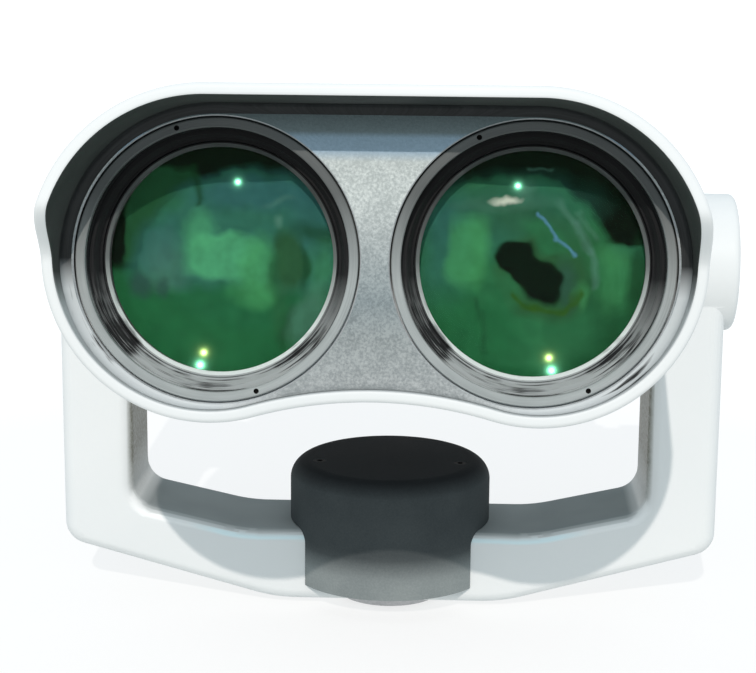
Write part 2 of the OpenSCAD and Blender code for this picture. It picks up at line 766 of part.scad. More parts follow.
module prism_plate_screws() color("gray") in_head()
    for (p = prism_screw_spots()) translate([p.x, prism_plate_y - prism_screw_hold, p.y])
        rotate([-90, 0, 0]) cap_screw(prism_screw_r, prism_plate_t + prism_screw_hold);

// Right-angle prism lying on the plate: its long face spans the two beams it turns
module right_prism() linear_extrude(prism_t, center = true)
    polygon([[-prism_shift, 0], [prism_shift, 0], [0, prism_shift]]);

module prism_outer(side) color("lightcyan") in_head()
    translate([side * lens_x, prism_plate_back, eye_z / 2]) rotate([90, 0, 90])
        rotate(-90) right_prism();

module prism_outer_left() prism_outer(-1);
module prism_outer_right() prism_outer(1);

module prism_inner(side) color("lightcyan") in_head()
    translate([side * (lens_x + eye_x) / 2, prism_plate_y, eye_z]) mirror([0, 1, 0]) right_prism();

module prism_inner_left() prism_inner(-1);
module prism_inner_right() prism_inner(1);

// Rear of the head

module rear_gasket() color([0.15, 0.15, 0.15]) in_head() difference() {
    along(box_back, cover_y) difference() {
        round_rect(box_w - 1, box_h - 1, box_corner_r - 0.5);
        round_rect(box_w - 2 * (post_in + post_r), box_h - 2 * (post_in + post_r),
                   box_corner_r - post_in - post_r);
    }
    for (p = cover_spots()) rod(p.x, p.y, cover_screw_r, box_back - 1, cover_y + 1);
    for (side = [-1, 1]) rod(side * eye_x, eye_z, tube_flange_r + pass_gap, box_back - 1, cover_y + 1);
}

module rear_cover() color("whitesmoke") in_head() difference() {
    e = 1.5;
    union() {
        along(cover_y, cover_back - e) round_rect(box_w, box_h, box_corner_r);
        along(cover_y, cover_back) round_rect(box_w - 2 * e, box_h - 2 * e, box_corner_r - e);
        for (side = [-1, 1]) rod(side * eye_x, eye_z, turret_r, cover_y, turret_y);
    }
    for (side = [-1, 1]) rod(side * eye_x, eye_z, tube_r, cover_y - 1, turret_y + 1);
    for (p = cover_spots()) {
        rod(p.x, p.y, cover_screw_r, cover_y - 1, cover_back + 1);
        rod(p.x, p.y, head_r(cover_screw_r) + sink_gap, cover_back - cover_head_t, cover_back + 1);
    }
}

module rear_cover_screws() color("gray") in_head()
    for (p = cover_spots()) translate([p.x, box_back - cover_screw_hold, p.y]) rotate([-90, 0, 0])
        cap_screw(cover_screw_r, cover_back - cover_head_t - box_back + cover_screw_hold);

// Tilt bearing on the head's side

module trunnion(side) color("silver") in_head() mirror([side < 0 ? 1 : 0, 0, 0]) difference() {
    union() {
        cross_rod(trunnion_r, box_w / 2 - housing_wall - 6, keeper_in);
        cross_rod(trunnion_flange_r, pad_x, disc_in);
    }
    rotate([0, 90, 0]) bolt_ring(trunnion_screw_n, trunnion_screw_ring, 30) {
        translate([0, 0, pad_x - 1]) cylinder(r = trunnion_screw_r, h = far);
        translate([0, 0, disc_in - trunnion_head_t])
            cylinder(r = head_r(trunnion_screw_r) + sink_gap, h = far);
    }
    cross_rod(keeper_screw_r, keeper_in - keeper_screw_hold - 2, keeper_in + 1);
}

module trunnion_left() trunnion(-1);
module trunnion_right() trunnion(1);

module trunnion_screws() color("gray") in_head()
    for (side = [-1, 1]) mirror([side < 0 ? 1 : 0, 0, 0]) rotate([0, 90, 0])
        bolt_ring(trunnion_screw_n, trunnion_screw_ring, 30)
            translate([0, 0, pad_x - trunnion_screw_hold])
                cap_screw(trunnion_screw_r, disc_in - trunnion_head_t - pad_x + trunnion_screw_hold);

module friction_disc(side) color([0.3, 0.25, 0.2]) in_head() mirror([side < 0 ? 1 : 0, 0, 0])
    translate([disc_in, 0, 0]) rotate([0, 90, 0])
        tube(trunnion_flange_r, trunnion_r + run_gap, disc_out - disc_in);

module friction_disc_left() friction_disc(-1);
module friction_disc_right() friction_disc(1);

module trunnion_keepers() color("silver") in_head()
    for (side = [-1, 1]) mirror([side < 0 ? 1 : 0, 0, 0]) difference() {
        cross_rod(keeper_r, keeper_in, keeper_out);
        cross_rod(keeper_screw_r, keeper_in - 1, keeper_out + 1);
        cross_rod(head_r(keeper_screw_r) + sink_gap, keeper_out - keeper_head_t, keeper_out + 1);
    }

module keeper_screws() color("gray") in_head()
    for (side = [-1, 1]) mirror([side < 0 ? 1 : 0, 0, 0])
        translate([keeper_in - keeper_screw_hold, 0, 0]) rotate([0, 90, 0])
            set_screw(keeper_screw_r, keeper_out - keeper_head_t - keeper_in + keeper_screw_hold,
                      keeper_head_t - 0.2);

// Eyepieces

module at_eye(side) in_head() turned(side * eye_x, eye_z) children();

module eyepiece_tube(side) color("silver") at_eye(side) polygon([
    [barrel_r + run_gap, tube_y], [tube_r, tube_y], [tube_r, cover_y - tube_flange_t],
    [tube_flange_r, cover_y - tube_flange_t], [tube_flange_r, cover_y], [tube_r, cover_y],
    [tube_r, tube_back], [barrel_r + run_gap, tube_back]]);

module eyepiece_tube_left() eyepiece_tube(-1);
module eyepiece_tube_right() eyepiece_tube(1);

module focus_ring(side) color([0.12, 0.12, 0.12]) difference() {
    at_eye(side) polygon([
        [tube_r + run_gap, focus_y], [focus_r - 1, focus_y], [focus_r, focus_y + 1],
        [focus_r, focus_back - 1], [focus_r - 1, focus_back], [tube_r + run_gap, focus_back]]);
    in_head() for (i = [0:focus_grooves - 1])
        rod(side * eye_x + focus_r * sin(i * 360 / focus_grooves),
            eye_z + focus_r * cos(i * 360 / focus_grooves),
            groove_r, focus_y + focus_lip, focus_back - focus_lip);
}

module focus_ring_left() focus_ring(-1);
module focus_ring_right() focus_ring(1);

module focus_keepers() color("silver") for (side = [-1, 1]) at_eye(side) polygon([
    [tube_r, focus_keeper_y], [tube_r + 3, focus_keeper_y], [tube_r + 3, tube_back - 0.6],
    [tube_r + 2.4, tube_back], [tube_r, tube_back]]);

module eyepiece_barrel(side) color([0.15, 0.15, 0.16]) at_eye(side) polygon([
    [barrel_r - barrel_wall, barrel_y], [barrel_r, barrel_y], [barrel_r, barrel_back],
    [barrel_r - barrel_wall - barrel_lip, barrel_back],
    [barrel_r - barrel_wall - barrel_lip, barrel_back - barrel_lip],
    [barrel_r - barrel_wall, barrel_back - barrel_lip]]);

module eyepiece_barrel_left() eyepiece_barrel(-1);
module eyepiece_barrel_right() eyepiece_barrel(1);

module eye_lens(side) color([0.5, 0.7, 0.7]) at_eye(side)
    polygon(concat(
        bowed(barrel_r - barrel_wall, eye_bow, barrel_back - barrel_lip - eye_glass_t),
        [[barrel_r - barrel_wall, barrel_back - barrel_lip]],
        backwards(bowed(barrel_r - barrel_wall - barrel_lip, -eye_bow / 2,
                        barrel_back - barrel_lip + eye_bow / 2))));

module eye_lens_left() eye_lens(-1);
module eye_lens_right() eye_lens(1);

// Rubber cup: a sleeve on the barrel, a folded waist and a flared rim
module eyecup(side) color([0.08, 0.08, 0.08]) at_eye(side) polygon([for (p = [
    [0, 0], [4, 0], [5, 1.5], [5, 6], [3.6, 7.5], [3.6, 11], [6, eyecup_len - 3],
    [6, eyecup_len - 0.8], [5.2, eyecup_len], [4, eyecup_len], [3.2, eyecup_len - 2.5],
    [1.2, cup_seat + 1], [0, cup_seat]]) [barrel_r + p.x, cup_y + p.y]]);

module eyecup_left() eyecup(-1);
module eyecup_right() eyecup(1);

base_flange();
pan_spindle();
pan_thrust_washer();
pan_lock_washer();
pan_nut();
yoke();
pan_bush_lower();
pan_bush_upper();
hub_cover();
hub_cover_screws();
trunnion_bush_left();
trunnion_bush_right();
trunnion_cap_left();
trunnion_cap_right();
housing();
hood();
hood_screws();
front_plate();
plate_screws();
bezel_ring_left();
bezel_ring_right();
lens_cell_left();
lens_cell_right();
retaining_ring_left();
retaining_ring_right();
objective_crown_left();
objective_crown_right();
lens_spacer_left();
lens_spacer_right();
objective_flint_left();
objective_flint_right();
prism_plate();
prism_plate_screws();
prism_inner_left();
prism_inner_right();
prism_outer_left();
prism_outer_right();
rear_gasket();
rear_cover();
rear_cover_screws();
trunnion_left();
trunnion_right();
trunnion_screws();
friction_disc_left();
friction_disc_right();
trunnion_keepers();
keeper_screws();
eyepiece_tube_left();
eyepiece_tube_right();
focus_ring_left();
focus_ring_right();
eyepiece_barrel_left();
eyepiece_barrel_right();
eye_lens_left();
eye_lens_right();
eyecup_left();
eyecup_right();
focus_keepers();
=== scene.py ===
import json
import math
import bmesh
import bpy
from mathutils import Matrix, Vector
from mathutils.geometry import tessellate_polygon


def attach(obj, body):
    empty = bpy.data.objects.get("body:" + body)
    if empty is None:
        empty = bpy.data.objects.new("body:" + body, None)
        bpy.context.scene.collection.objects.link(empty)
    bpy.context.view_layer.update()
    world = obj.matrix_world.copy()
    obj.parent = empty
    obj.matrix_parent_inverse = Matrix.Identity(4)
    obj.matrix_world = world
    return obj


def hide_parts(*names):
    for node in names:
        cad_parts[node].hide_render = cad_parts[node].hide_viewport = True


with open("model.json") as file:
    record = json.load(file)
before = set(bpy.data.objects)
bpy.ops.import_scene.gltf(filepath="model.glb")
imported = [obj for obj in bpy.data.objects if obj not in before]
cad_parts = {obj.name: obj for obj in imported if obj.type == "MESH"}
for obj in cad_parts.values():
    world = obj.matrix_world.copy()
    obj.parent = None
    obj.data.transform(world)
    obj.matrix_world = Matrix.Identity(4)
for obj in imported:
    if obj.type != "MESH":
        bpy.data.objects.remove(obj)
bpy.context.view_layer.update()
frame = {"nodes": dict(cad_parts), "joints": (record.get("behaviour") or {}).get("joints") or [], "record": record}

mm = 0.001
nodes = frame["nodes"]
scene = bpy.context.scene
sides = {"left": -1, "right": 1}

# the head stands tilted up at rest; its pieces are drawn level, in millimetres from the tilt axis
tiltAxis = Vector(next(j for j in frame["joints"] if j["name"] == "tilt")["pos_m"])
restTilt = math.radians(9.6)
headTurn = Matrix.Translation(tiltAxis) @ Matrix.Rotation(-restTilt, 4, "X")

head = {
    "lensX": 71.0, "plateY": -259.0, "plateBack": -251.0, "hoodBack": -205.0, "ringBack": -255.0,
    "seatY": -242.0, "crownY": -239.0, "spacerY": -233.0, "flintY": -231.4, "cellLipY": -220.4,
    "cellEnd": -207.0, "ringR": 63.6, "ringIn": 59.4, "boreR": 64.4, "cellR": 62.0,
    "glassR": 54.0, "eyeX": 32.0, "eyeZ": 39.0}


# helpers for nodes and meshes

building = {}  # the node tree that new nodes go into


def openTree(owner):
    owner.use_nodes = True
    owner.node_tree.nodes.clear()
    building["tree"] = owner.node_tree


def addNode(kind, inputs=None, **settings):
    tree = building["tree"]
    made = tree.nodes.new(kind)
    for key, value in settings.items():
        setattr(made, key, value)
    for key, value in (inputs or {}).items():
        if isinstance(value, bpy.types.NodeSocket):
            tree.links.new(value, made.inputs[key])
        else:
            made.inputs[key].default_value = value
    return made


def output(kind, inputs=None, **settings):
    return addNode(kind, inputs, **settings).outputs[0]


def maths(operation, first, second=0.0, third=0.0):
    return output("ShaderNodeMath", {0: first, 1: second, 2: third}, operation=operation)


def times(first, second):
    return maths("MULTIPLY", first, second)


def plus(first, second):
    return maths("ADD", first, second)


# the sum of some patterns, each with its share
def weighted(*parts):
    total = None
    for pattern, share in reversed(parts):
        part = times(pattern, share)
        total = part if total is None else plus(part, total)
    return total


def split(vector):
    return tuple(addNode("ShaderNodeSeparateXYZ", {0: vector}).outputs)


def join(x=0.0, y=0.0, z=0.0):
    return output("ShaderNodeCombineXYZ", {0: x, 1: y, 2: z})


def lengthOf(vector):
    return addNode("ShaderNodeVectorMath", {0: vector}, operation="LENGTH").outputs["Value"]


def inMetres(span):
    return [v * mm for v in span]


def noise(coords, scale, detail=3.0, roughness=0.5):
    return output("ShaderNodeTexNoise", {
        "Vector": coords, "Scale": scale, "Detail": detail, "Roughness": roughness})


def ramp(factor, *stops):
    made = addNode("ShaderNodeValToRGB", {"Fac": factor})
    band = made.color_ramp.elements
    while len(band) < len(stops):
        band.new(0.5)
    for element, (spot, tone) in zip(band, stops):
        element.position = spot
        element.color = (tone if isinstance(tone, tuple) else (tone, tone, tone)) + (1,)
    return made.outputs["Color"]


# a factor in one range brought to another, and kept inside it
def spread(factor, low, high, fromLow=0.0, fromHigh=1.0):
    return output("ShaderNodeMapRange", {0: factor, 1: fromLow, 2: fromHigh, 3: low, 4: high})


def mixShaders(share, first, second):
    return output("ShaderNodeMixShader", {0: share, 1: first, 2: second})


def link(piece):
    scene.collection.objects.link(piece)
    return piece


def smoothShade(mesh, sharpDegrees):
    mesh.polygons.foreach_set("use_smooth", [True] * len(mesh.polygons))
    mesh.set_sharp_from_angle(angle=math.radians(sharpDegrees))


def closeMesh(mesh):
    work = bmesh.new()
    work.from_mesh(mesh)
    bmesh.ops.remove_doubles(work, verts=work.verts, dist=2e-7)
    bmesh.ops.recalc_face_normals(work, faces=work.faces)
    work.to_mesh(mesh)
    work.free()


def makePiece(name, verts, faces, materials, sharpDegrees=30, place=headTurn, tints=None):
    mesh = bpy.data.meshes.new(name)
    mesh.from_pydata([Vector(v) * mm for v in verts], [], faces)
    for material in materials:
        mesh.materials.append(material)
    if tints:
        mesh.polygons.foreach_set("material_index", tints)
    closeMesh(mesh)
    mesh.transform(place)
    smoothShade(mesh, sharpDegrees)
    return link(bpy.data.objects.new(name, mesh))


def evenNormals(piece):
    tuned = piece.modifiers.new("evenNormals", "WEIGHTED_NORMAL")
    tuned.keep_sharp = True
    bakeModifiers(piece)


def bakeModifiers(piece):
    seen = piece.evaluated_get(bpy.context.evaluated_depsgraph_get())
    mesh = bpy.data.meshes.new_from_object(seen)
    mesh.name = piece.name
    piece.modifiers.clear()
    piece.data = mesh


def settle(piece, body, node):
    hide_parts(node)
    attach(piece, body)


def loopFaces(rings, count, closed):
    faces = []
    for i in range(rings if closed else rings - 1):
        a, b = i * count, (i + 1) % rings * count
        for k in range(count):
            n = (k + 1) % count
            faces.append((a + k, a + n, b + n, b + k))
    return faces


# turns a closed [radius, y] profile about an axis that runs along the head at x, z; bands gives
# the material of each stretch of the profile
def turned(name, profile, x, z, materials, sharpDegrees, steps, place=headTurn, bands=None):
    verts = []
    for i in range(steps):
        a = 2 * math.pi * i / steps
        verts += [(x + r * math.sin(a), y, z + r * math.cos(a)) for r, y in profile]
    return makePiece(name, verts, loopFaces(steps, len(profile), True), materials,
                     sharpDegrees, place, bands * steps if bands else None)


def circleSpots(x, y, z, radius, count):
    turns = [2 * math.pi * i / count for i in range(count)]
    return [(x + radius * math.cos(a), y, z + radius * math.sin(a)) for a in turns]


# a smooth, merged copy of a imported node
def dressed(node, name, look, sharpDegrees, body):
    mesh = nodes[node].data.copy()
    mesh.name = name
    mesh.materials.clear()
    mesh.materials.append(look)
    mesh.polygons.foreach_set("material_index", [0] * len(mesh.polygons))
    work = bmesh.new()
    work.from_mesh(mesh)
    bmesh.ops.remove_doubles(work, verts=work.verts, dist=2e-6)
    bmesh.ops.dissolve_degenerate(work, edges=work.edges, dist=1e-6)
    work.to_mesh(mesh)
    work.free()
    for layer in list(mesh.attributes):
        if layer.name.startswith("custom_normal"):
            mesh.attributes.remove(layer)
    smoothShade(mesh, sharpDegrees)
    piece = link(bpy.data.objects.new(name, mesh))
    evenNormals(piece)
    settle(piece, body, node)


# camera, light and floor

cameraView = {
    "lens": 95.24, "distance": 1.16225, "yaw": 2.144, "pitch": 12.386, "roll": 0.45,
    "target": (-0.007855, 0.0, 0.154107)}


def makeCamera():
    yaw, pitch, roll = (math.radians(cameraView[k]) for k in ("yaw", "pitch", "roll"))
    back = Vector((math.sin(yaw) * math.cos(pitch), -math.cos(yaw) * math.cos(pitch),
                   math.sin(pitch)))
    right = (-back).cross(Vector((0, 0, 1))).normalized()
    up = right.cross(-back)
    across = right * math.cos(roll) + up * math.sin(roll)
    upward = up * math.cos(roll) - right * math.sin(roll)
    camera = bpy.data.cameras.new("viewCamera")
    camera.lens = cameraView["lens"]
    camera.sensor_width = 36
    camera.clip_start = 0.05
    placed = link(bpy.data.objects.new("viewCamera", camera))
    spot = Vector(cameraView["target"]) + back * cameraView["distance"]
    placed.matrix_world = (Matrix.Translation(spot)
                           @ Matrix((across, upward, back)).transposed().to_4x4())
    scene.camera = placed


lighting = {
    "keyPower": 530.0, "keySize": 0.10, "keySpot": (-0.36, -8.57, 5.63),
    "keyTone": (1.0, 0.92, 0.86), "aim": (0.0, -0.15, 0.2), "sky": 0.78,
    "skyTone": (0.80, 0.93, 1.0), "bounce": 0.68, "bounceTone": (0.93, 1.0, 1.0),
    "floorNear": 0.72, "floorTone": 0.30, "glowFrom": 0.45, "glowTo": 1.2, "floorHalf": 12,
    "floorDrop": 0.0006}


def makeLights():
    key = bpy.data.lights.new("keyLamp", "AREA")
    key.shape = "DISK"
    key.size = lighting["keySize"]
    key.energy = lighting["keyPower"]
    key.color = lighting["keyTone"]
    lamp = link(bpy.data.objects.new("keyLamp", key))
    lamp.location = lighting["keySpot"]
    way = lamp.location - Vector(lighting["aim"])
    lamp.rotation_euler = way.to_track_quat("Z", "Y").to_euler()
    world = bpy.data.worlds.new("studio")
    scene.world = world
    openTree(world)
    fill = output("ShaderNodeBackground", {
        "Color": lighting["skyTone"] + (1,), "Strength": lighting["sky"]})
    white = output("ShaderNodeBackground", {"Color": (1, 1, 1, 1), "Strength": 1.0})
    addNode("ShaderNodeOutputWorld", {"Surface": mixShaders(seenDirectly(), fill, white)})


# 1 for what the camera sees, straight or in gloss or glass
def seenDirectly():
    path = addNode("ShaderNodeLightPath").outputs
    either = maths("MAXIMUM", path["Is Camera Ray"], path["Is Glossy Ray"])
    return maths("MAXIMUM", either, path["Is Transmission Ray"])


def makeFloor():
    material = bpy.data.materials.new("paleFloor")
    openTree(material)
    tone, half, drop = (lighting[k] for k in ("floorTone", "floorHalf", "floorDrop"))
    away = lengthOf(addNode("ShaderNodeTexCoord").outputs["Object"])
    strength = spread(away, lighting["floorNear"], 1.0, lighting["glowFrom"], lighting["glowTo"])
    glow = output("ShaderNodeEmission", {"Color": (1, 1, 1, 1), "Strength": strength})
    shaded = output("ShaderNodeBsdfDiffuse", {"Color": (tone, tone, tone, 1)})
    both = output("ShaderNodeAddShader", {0: glow, 1: shaded})
    lift = output("ShaderNodeEmission", {
        "Color": lighting["bounceTone"] + (1,), "Strength": lighting["bounce"]})
    addNode("ShaderNodeOutputMaterial", {"Surface": mixShaders(seenDirectly(), lift, both)})
    mesh = bpy.data.meshes.new("floor")
    mesh.from_pydata([(-half, -half, -drop), (half, -half, -drop), (half, half, -drop),
                      (-half, half, -drop)], [], [(0, 1, 2, 3)])
    mesh.materials.append(material)
    link(bpy.data.objects.new("floor", mesh))


makeCamera()
makeLights()
makeFloor()
scene.view_settings.view_transform = "Standard"
print("camera, lamp and floor are set")


# materials

def startMaterial(name):
    material = bpy.data.materials.new(name)
    openTree(material)
    return material, addNode("ShaderNodeTexCoord").outputs["Object"]


# object coordinates turned level with the head, in metres from its middle or from a lens axis
def levelCoords(coords, x=0.0):
    shift = -(Matrix.Rotation(restTilt, 3, "X") @ tiltAxis) - Vector((x, 0, 0)) * mm
    return output("ShaderNodeMapping", {
        "Vector": coords, "Location": shift, "Rotation": (restTilt, 0, 0)})


def facingWay():
    return split(addNode("ShaderNodeNewGeometry").outputs["Normal"])


def blend(factor, first, second, kind="MIX"):
    first, second = (tone if isinstance(tone, bpy.types.NodeSocket) else (*tone, 1)
                     for tone in (first, second))
    return addNode("ShaderNodeMix", {0: factor, 6: first, 7: second}, data_type="RGBA",
                   blend_type=kind).outputs[2]


def bump(height, strength, distance, under=None):
    inputs = {"Height": height, "Strength": strength, "Distance": distance}
    if under:
        inputs["Normal"] = under
    return output("ShaderNodeBump", inputs)


shaderInputs = {"metallic": "Metallic", "specular": "Specular IOR Level", "tint": "Specular Tint"}


def surface(colour, roughness, normal=None, **fixed):
    inputs = {"Base Color": colour, "Roughness": roughness}
    if normal:
        inputs["Normal"] = normal
    inputs.update({shaderInputs[key]: value for key, value in fixed.items()})
    shader = output("ShaderNodeBsdfPrincipled", inputs)
    addNode("ShaderNodeOutputMaterial", {"Surface": shader})


# a written screen colour as the shader wants it
def screenTone(red, green, blue):
    return tuple((c / 255 / 12.92) if c < 10.3 else ((c / 255 + 0.055) / 1.055) ** 2.4
                 for c in (red, green, blue))


# tones, and stretches of height or half width in mm
yokeShadeAndHighlight = {
    "barTopShade": (0.22, 0.25, 0.255), "barTop": (62, 78), "armShade": (0.15, 0.145, 0.108),
    "armFoot": (50, 90), "lip": (0.94, 0.95, 0.95), "lipSkyReflection": (0.80, 0.96, 1.0),
    "shadeEnd": (98, 116)}


# painted light on the yoke: painted shade on top of the bar under the head, a brownish painted shade and
# reflection inside its arms, and a painted highlight on the bar's front lip, tinted as a painted sky reflection
# where the head's shadow falls
def paintYokeLight(colour, coords, facing, broad):
    g, spot = yokeShadeAndHighlight, split(coords)
    low = spread(spot[2], 1.0, 0.0, *inMetres(g["barTop"]))
    # painted shade on the bar's top, under the head
    top = times(low, spread(facing[2], 0.0, 1.0, 0.60, 0.94))
    top = times(top, spread(broad, 0.75, 1.0, 0.3, 0.7))
    colour = blend(top, colour, g["barTopShade"])
    # painted shade and reflection on the inner faces of the arms
    inward = times(maths("SIGN", spot[0]), facing[0])
    side = times(spread(inward, 1.0, 0.0, -0.95, -0.6),
                 spread(spot[2], 0.0, 1.0, *inMetres(g["armFoot"])))
    fleck = spread(noise(coords, 420.0, 4.0, 0.7), 0.75, 1.0, 0.35, 0.6)
    colour = blend(times(side, fleck), colour, g["armShade"])
    # painted highlight along the front lip, a bluish painted reflection where the head's shadow falls
    lip = times(spread(facing[2], 0.0, 1.0, 0.12, 0.35), spread(facing[2], 1.0, 0.0, 0.45, 0.7))
    lip = times(times(lip, low), spread(facing[1], 1.0, 0.0, -0.6, -0.3))
    shaded = spread(maths("ABSOLUTE", spot[0]), 1.0, 0.0, *inMetres(g["shadeEnd"]))
    return blend(lip, colour, blend(shaded, g["lip"], g["lipSkyReflection"]))


whiteFinish = {
    "low": (0.79, 0.805, 0.808), "high": (0.835, 0.845, 0.842), "fleck": (0.77, 0.80, 0.81),
    "peel": 0.10, "specular": 0.22}


def whitePaint(name, withYokeLight=False):
    material, coords = startMaterial(name)
    w, facing = whiteFinish, facingWay()
    broad = noise(coords, 9.0)
    fine = noise(coords, 260.0, 4.0, 0.6)
    colour = ramp(broad, (0.3, w["low"]), (0.7, w["high"]))
    colour = blend(spread(fine, 0.0, 0.3), colour, w["fleck"])
    # the yoke also gets painted shade, reflection and highlight
    if withYokeLight:
        colour = paintYokeLight(colour, coords, facing, broad)
    settled = spread(facing[2], 0.0, 0.45, 0.55, 0.95)  # fine dust dulls what faces up
    surface(colour, plus(spread(fine, 0.38, 0.48), settled),
            bump(noise(coords, 420.0, 2.0), w["peel"], 0.0004), specular=w["specular"])
    return material


# foot and wall multiply the paint's tone, and fade is where one turns into the other, in mm: foot is a painted lit
# tone low down, below the head's shadow, and wall a painted shade above it; top is a painted shade on what faces
# up under the head
hubPaintAndLight = {
    "low": (0.085, 0.096, 0.100), "high": (0.135, 0.148, 0.150), "foot": (2.3, 2.28, 2.22),
    "wall": (0.55, 0.57, 0.58), "fade": (26, 40), "top": (0.010, 0.011, 0.013), "specular": 0.03}


def hubPaint():
    material, coords = startMaterial("hubPaint")
    h, (footEnd, wallStart) = hubPaintAndLight, inMetres(hubPaintAndLight["fade"])
    broad = noise(coords, 30.0, 4.0)
    fine = noise(coords, 900.0, 3.0, 0.6)
    colour = ramp(blend(0.4, broad, fine), (0.3, h["low"]), (0.75, h["high"]))
    height = maths("MULTIPLY_ADD", broad, 0.004, split(coords)[2])
    # painted light: lighter low down where the light falls, darker higher up in the head's shadow
    paintedLight = ramp(height, (footEnd, h["foot"]), (wallStart, h["wall"]))
    colour = blend(1.0, colour, paintedLight, "MULTIPLY")
    # painted shade on the faces that look up under the head
    colour = blend(spread(facingWay()[2], 0.0, 0.8, 0.25, 0.9), colour, h["top"])
    surface(colour, spread(broad, 0.60, 0.75), bump(fine, 0.35, 0.0004), specular=h["specular"])
    return material


liningAndLitTone = {
    "low": (0.044, 0.050, 0.048), "high": (0.070, 0.076, 0.073), "litSilver": (0.60, 0.63, 0.64),
    "fade": (-16, 0), "specular": 0.08}


# dull black under the visor, turning round the chin to pale silver, a painted lit tone where light falls on the
# lower wall
def hoodLining():
    material, coords = startMaterial("hoodLining")
    f = liningAndLitTone
    fine = noise(coords, 1100.0, 3.0, 0.7)
    broad = noise(coords, 25.0)
    colour = ramp(broad, (0.3, f["low"]), (0.7, f["high"]))
    height = split(levelCoords(coords))[2]
    # painted light: the lining is pale silver low down, where light falls
    edge = maths("MULTIPLY_ADD", broad, 0.010, height)
    colour = blend(spread(edge, 1.0, 0.0, *inMetres(f["fade"])), colour, f["litSilver"])
    surface(colour, spread(fine, 0.55, 0.75), bump(fine, 0.4, 0.0003), specular=f["specular"])
    return material


# the height ramp holds what multiplies the silver at each height, from 0 at the foot of its span to 1 at its top:
# painted shade under the visor, partly bluish, and painted light and shade below it; chin is a painted lit tone on
# the lower sides; every stretch is a height or half width in mm
silverAndPaintedLight = {
    "dark": (0.37, 0.40, 0.405), "middle": (0.47, 0.50, 0.505), "light": (0.59, 0.62, 0.62),
    "smoothFrom": (42, 49), "chin": (0.88, 0.92, 0.93), "chinHeight": (-34, -16),
    "chinWidth": (38, 67), "shadeSpan": (-70, 80), "specular": 0.12,
    "shadeByHeight": (
        (0.100, (0.78, 0.78, 0.78)), (0.233, (0.60, 0.62, 0.62)), (0.347, (0.49, 0.54, 0.56)),
        (0.453, (0.66, 0.70, 0.71)), (0.567, (0.95, 0.97, 0.96)), (0.667, (1.20, 1.22, 1.19)),
        (0.765, (1.20, 1.23, 1.20)), (0.797, (0.70, 0.90, 1.10)), (0.836, (0.66, 0.86, 1.05)),
        (0.853, (0.36, 0.44, 0.46)), (0.913, (0.22, 0.27, 0.28)), (0.925, (0.03, 0.03, 0.03)))}


def castSilver():
    material, coords = startMaterial("castSilver")
    s = silverAndPaintedLight
    grain = noise(coords, 780.0, 3.0, 0.65)
    mottle = noise(coords, 110.0, 5.0, 0.65)
    tone = weighted((grain, 0.60), (mottle, 0.25), (noise(coords, 16.0, 2.0), 0.15))
    colour = ramp(tone, (0.41, s["dark"]), (0.5, s["middle"]), (0.59, s["light"]))
    spot = split(levelCoords(coords))
    smoother = spread(spot[2], 0.0, 0.7, *inMetres(s["smoothFrom"]))
    colour = blend(smoother, colour, s["middle"])
    # painted light: the lower sides are lighter, near the chin where light falls
    low = spread(spot[2], 1.0, 0.0, *inMetres(s["chinHeight"]))
    wide = spread(maths("ABSOLUTE", spot[0]), 0.0, 0.8, *inMetres(s["chinWidth"]))
    colour = blend(times(low, wide), colour, s["chin"])
    # painted shade and light by height
    paintedShading = ramp(spread(spot[2], 0.0, 1.0, *inMetres(s["shadeSpan"])), *s["shadeByHeight"])
    colour = blend(1.0, colour, paintedShading, "MULTIPLY")
    pits = bump(grain, 0.55, 0.0005, bump(mottle, 0.25, 0.001))
    surface(colour, spread(mottle, 0.45, 0.60), pits, specular=s["specular"])
    return material


visorShade = (-12, 30)  # the heights that the visor's shade sets in between, in mm
# dark and light tone, roughness, specular, what is left of the tone under the visor as painted shade, and a
# painted highlight of bright broken streaks on the lower part: its tone, its share, and the heights where it
# starts and is full, in mm
turnedLooks = {
    "rimMetal": (
        (0.016, 0.018, 0.018), (0.050, 0.054, 0.056), 0.32, 0.12, 0.7,
        ((0.58, 0.615, 0.625), 1.0, (0, -14))),
    "bezelMetal": ((0.28, 0.305, 0.305), (0.42, 0.45, 0.445), 0.34, 0.15, 0.34, None),
    "cellBlack": (
        (0.006, 0.007, 0.008), (0.030, 0.032, 0.033), 0.34, 0.08, 0.4,
        ((0.40, 0.43, 0.43), 0.68, (-6, -44))),
    "retainerMetal": (
        (0.12, 0.13, 0.128), (0.33, 0.355, 0.35), 0.30, 0.2, 0.30,
        ((0.80, 0.86, 0.84), 0.9, (0, -30)))}


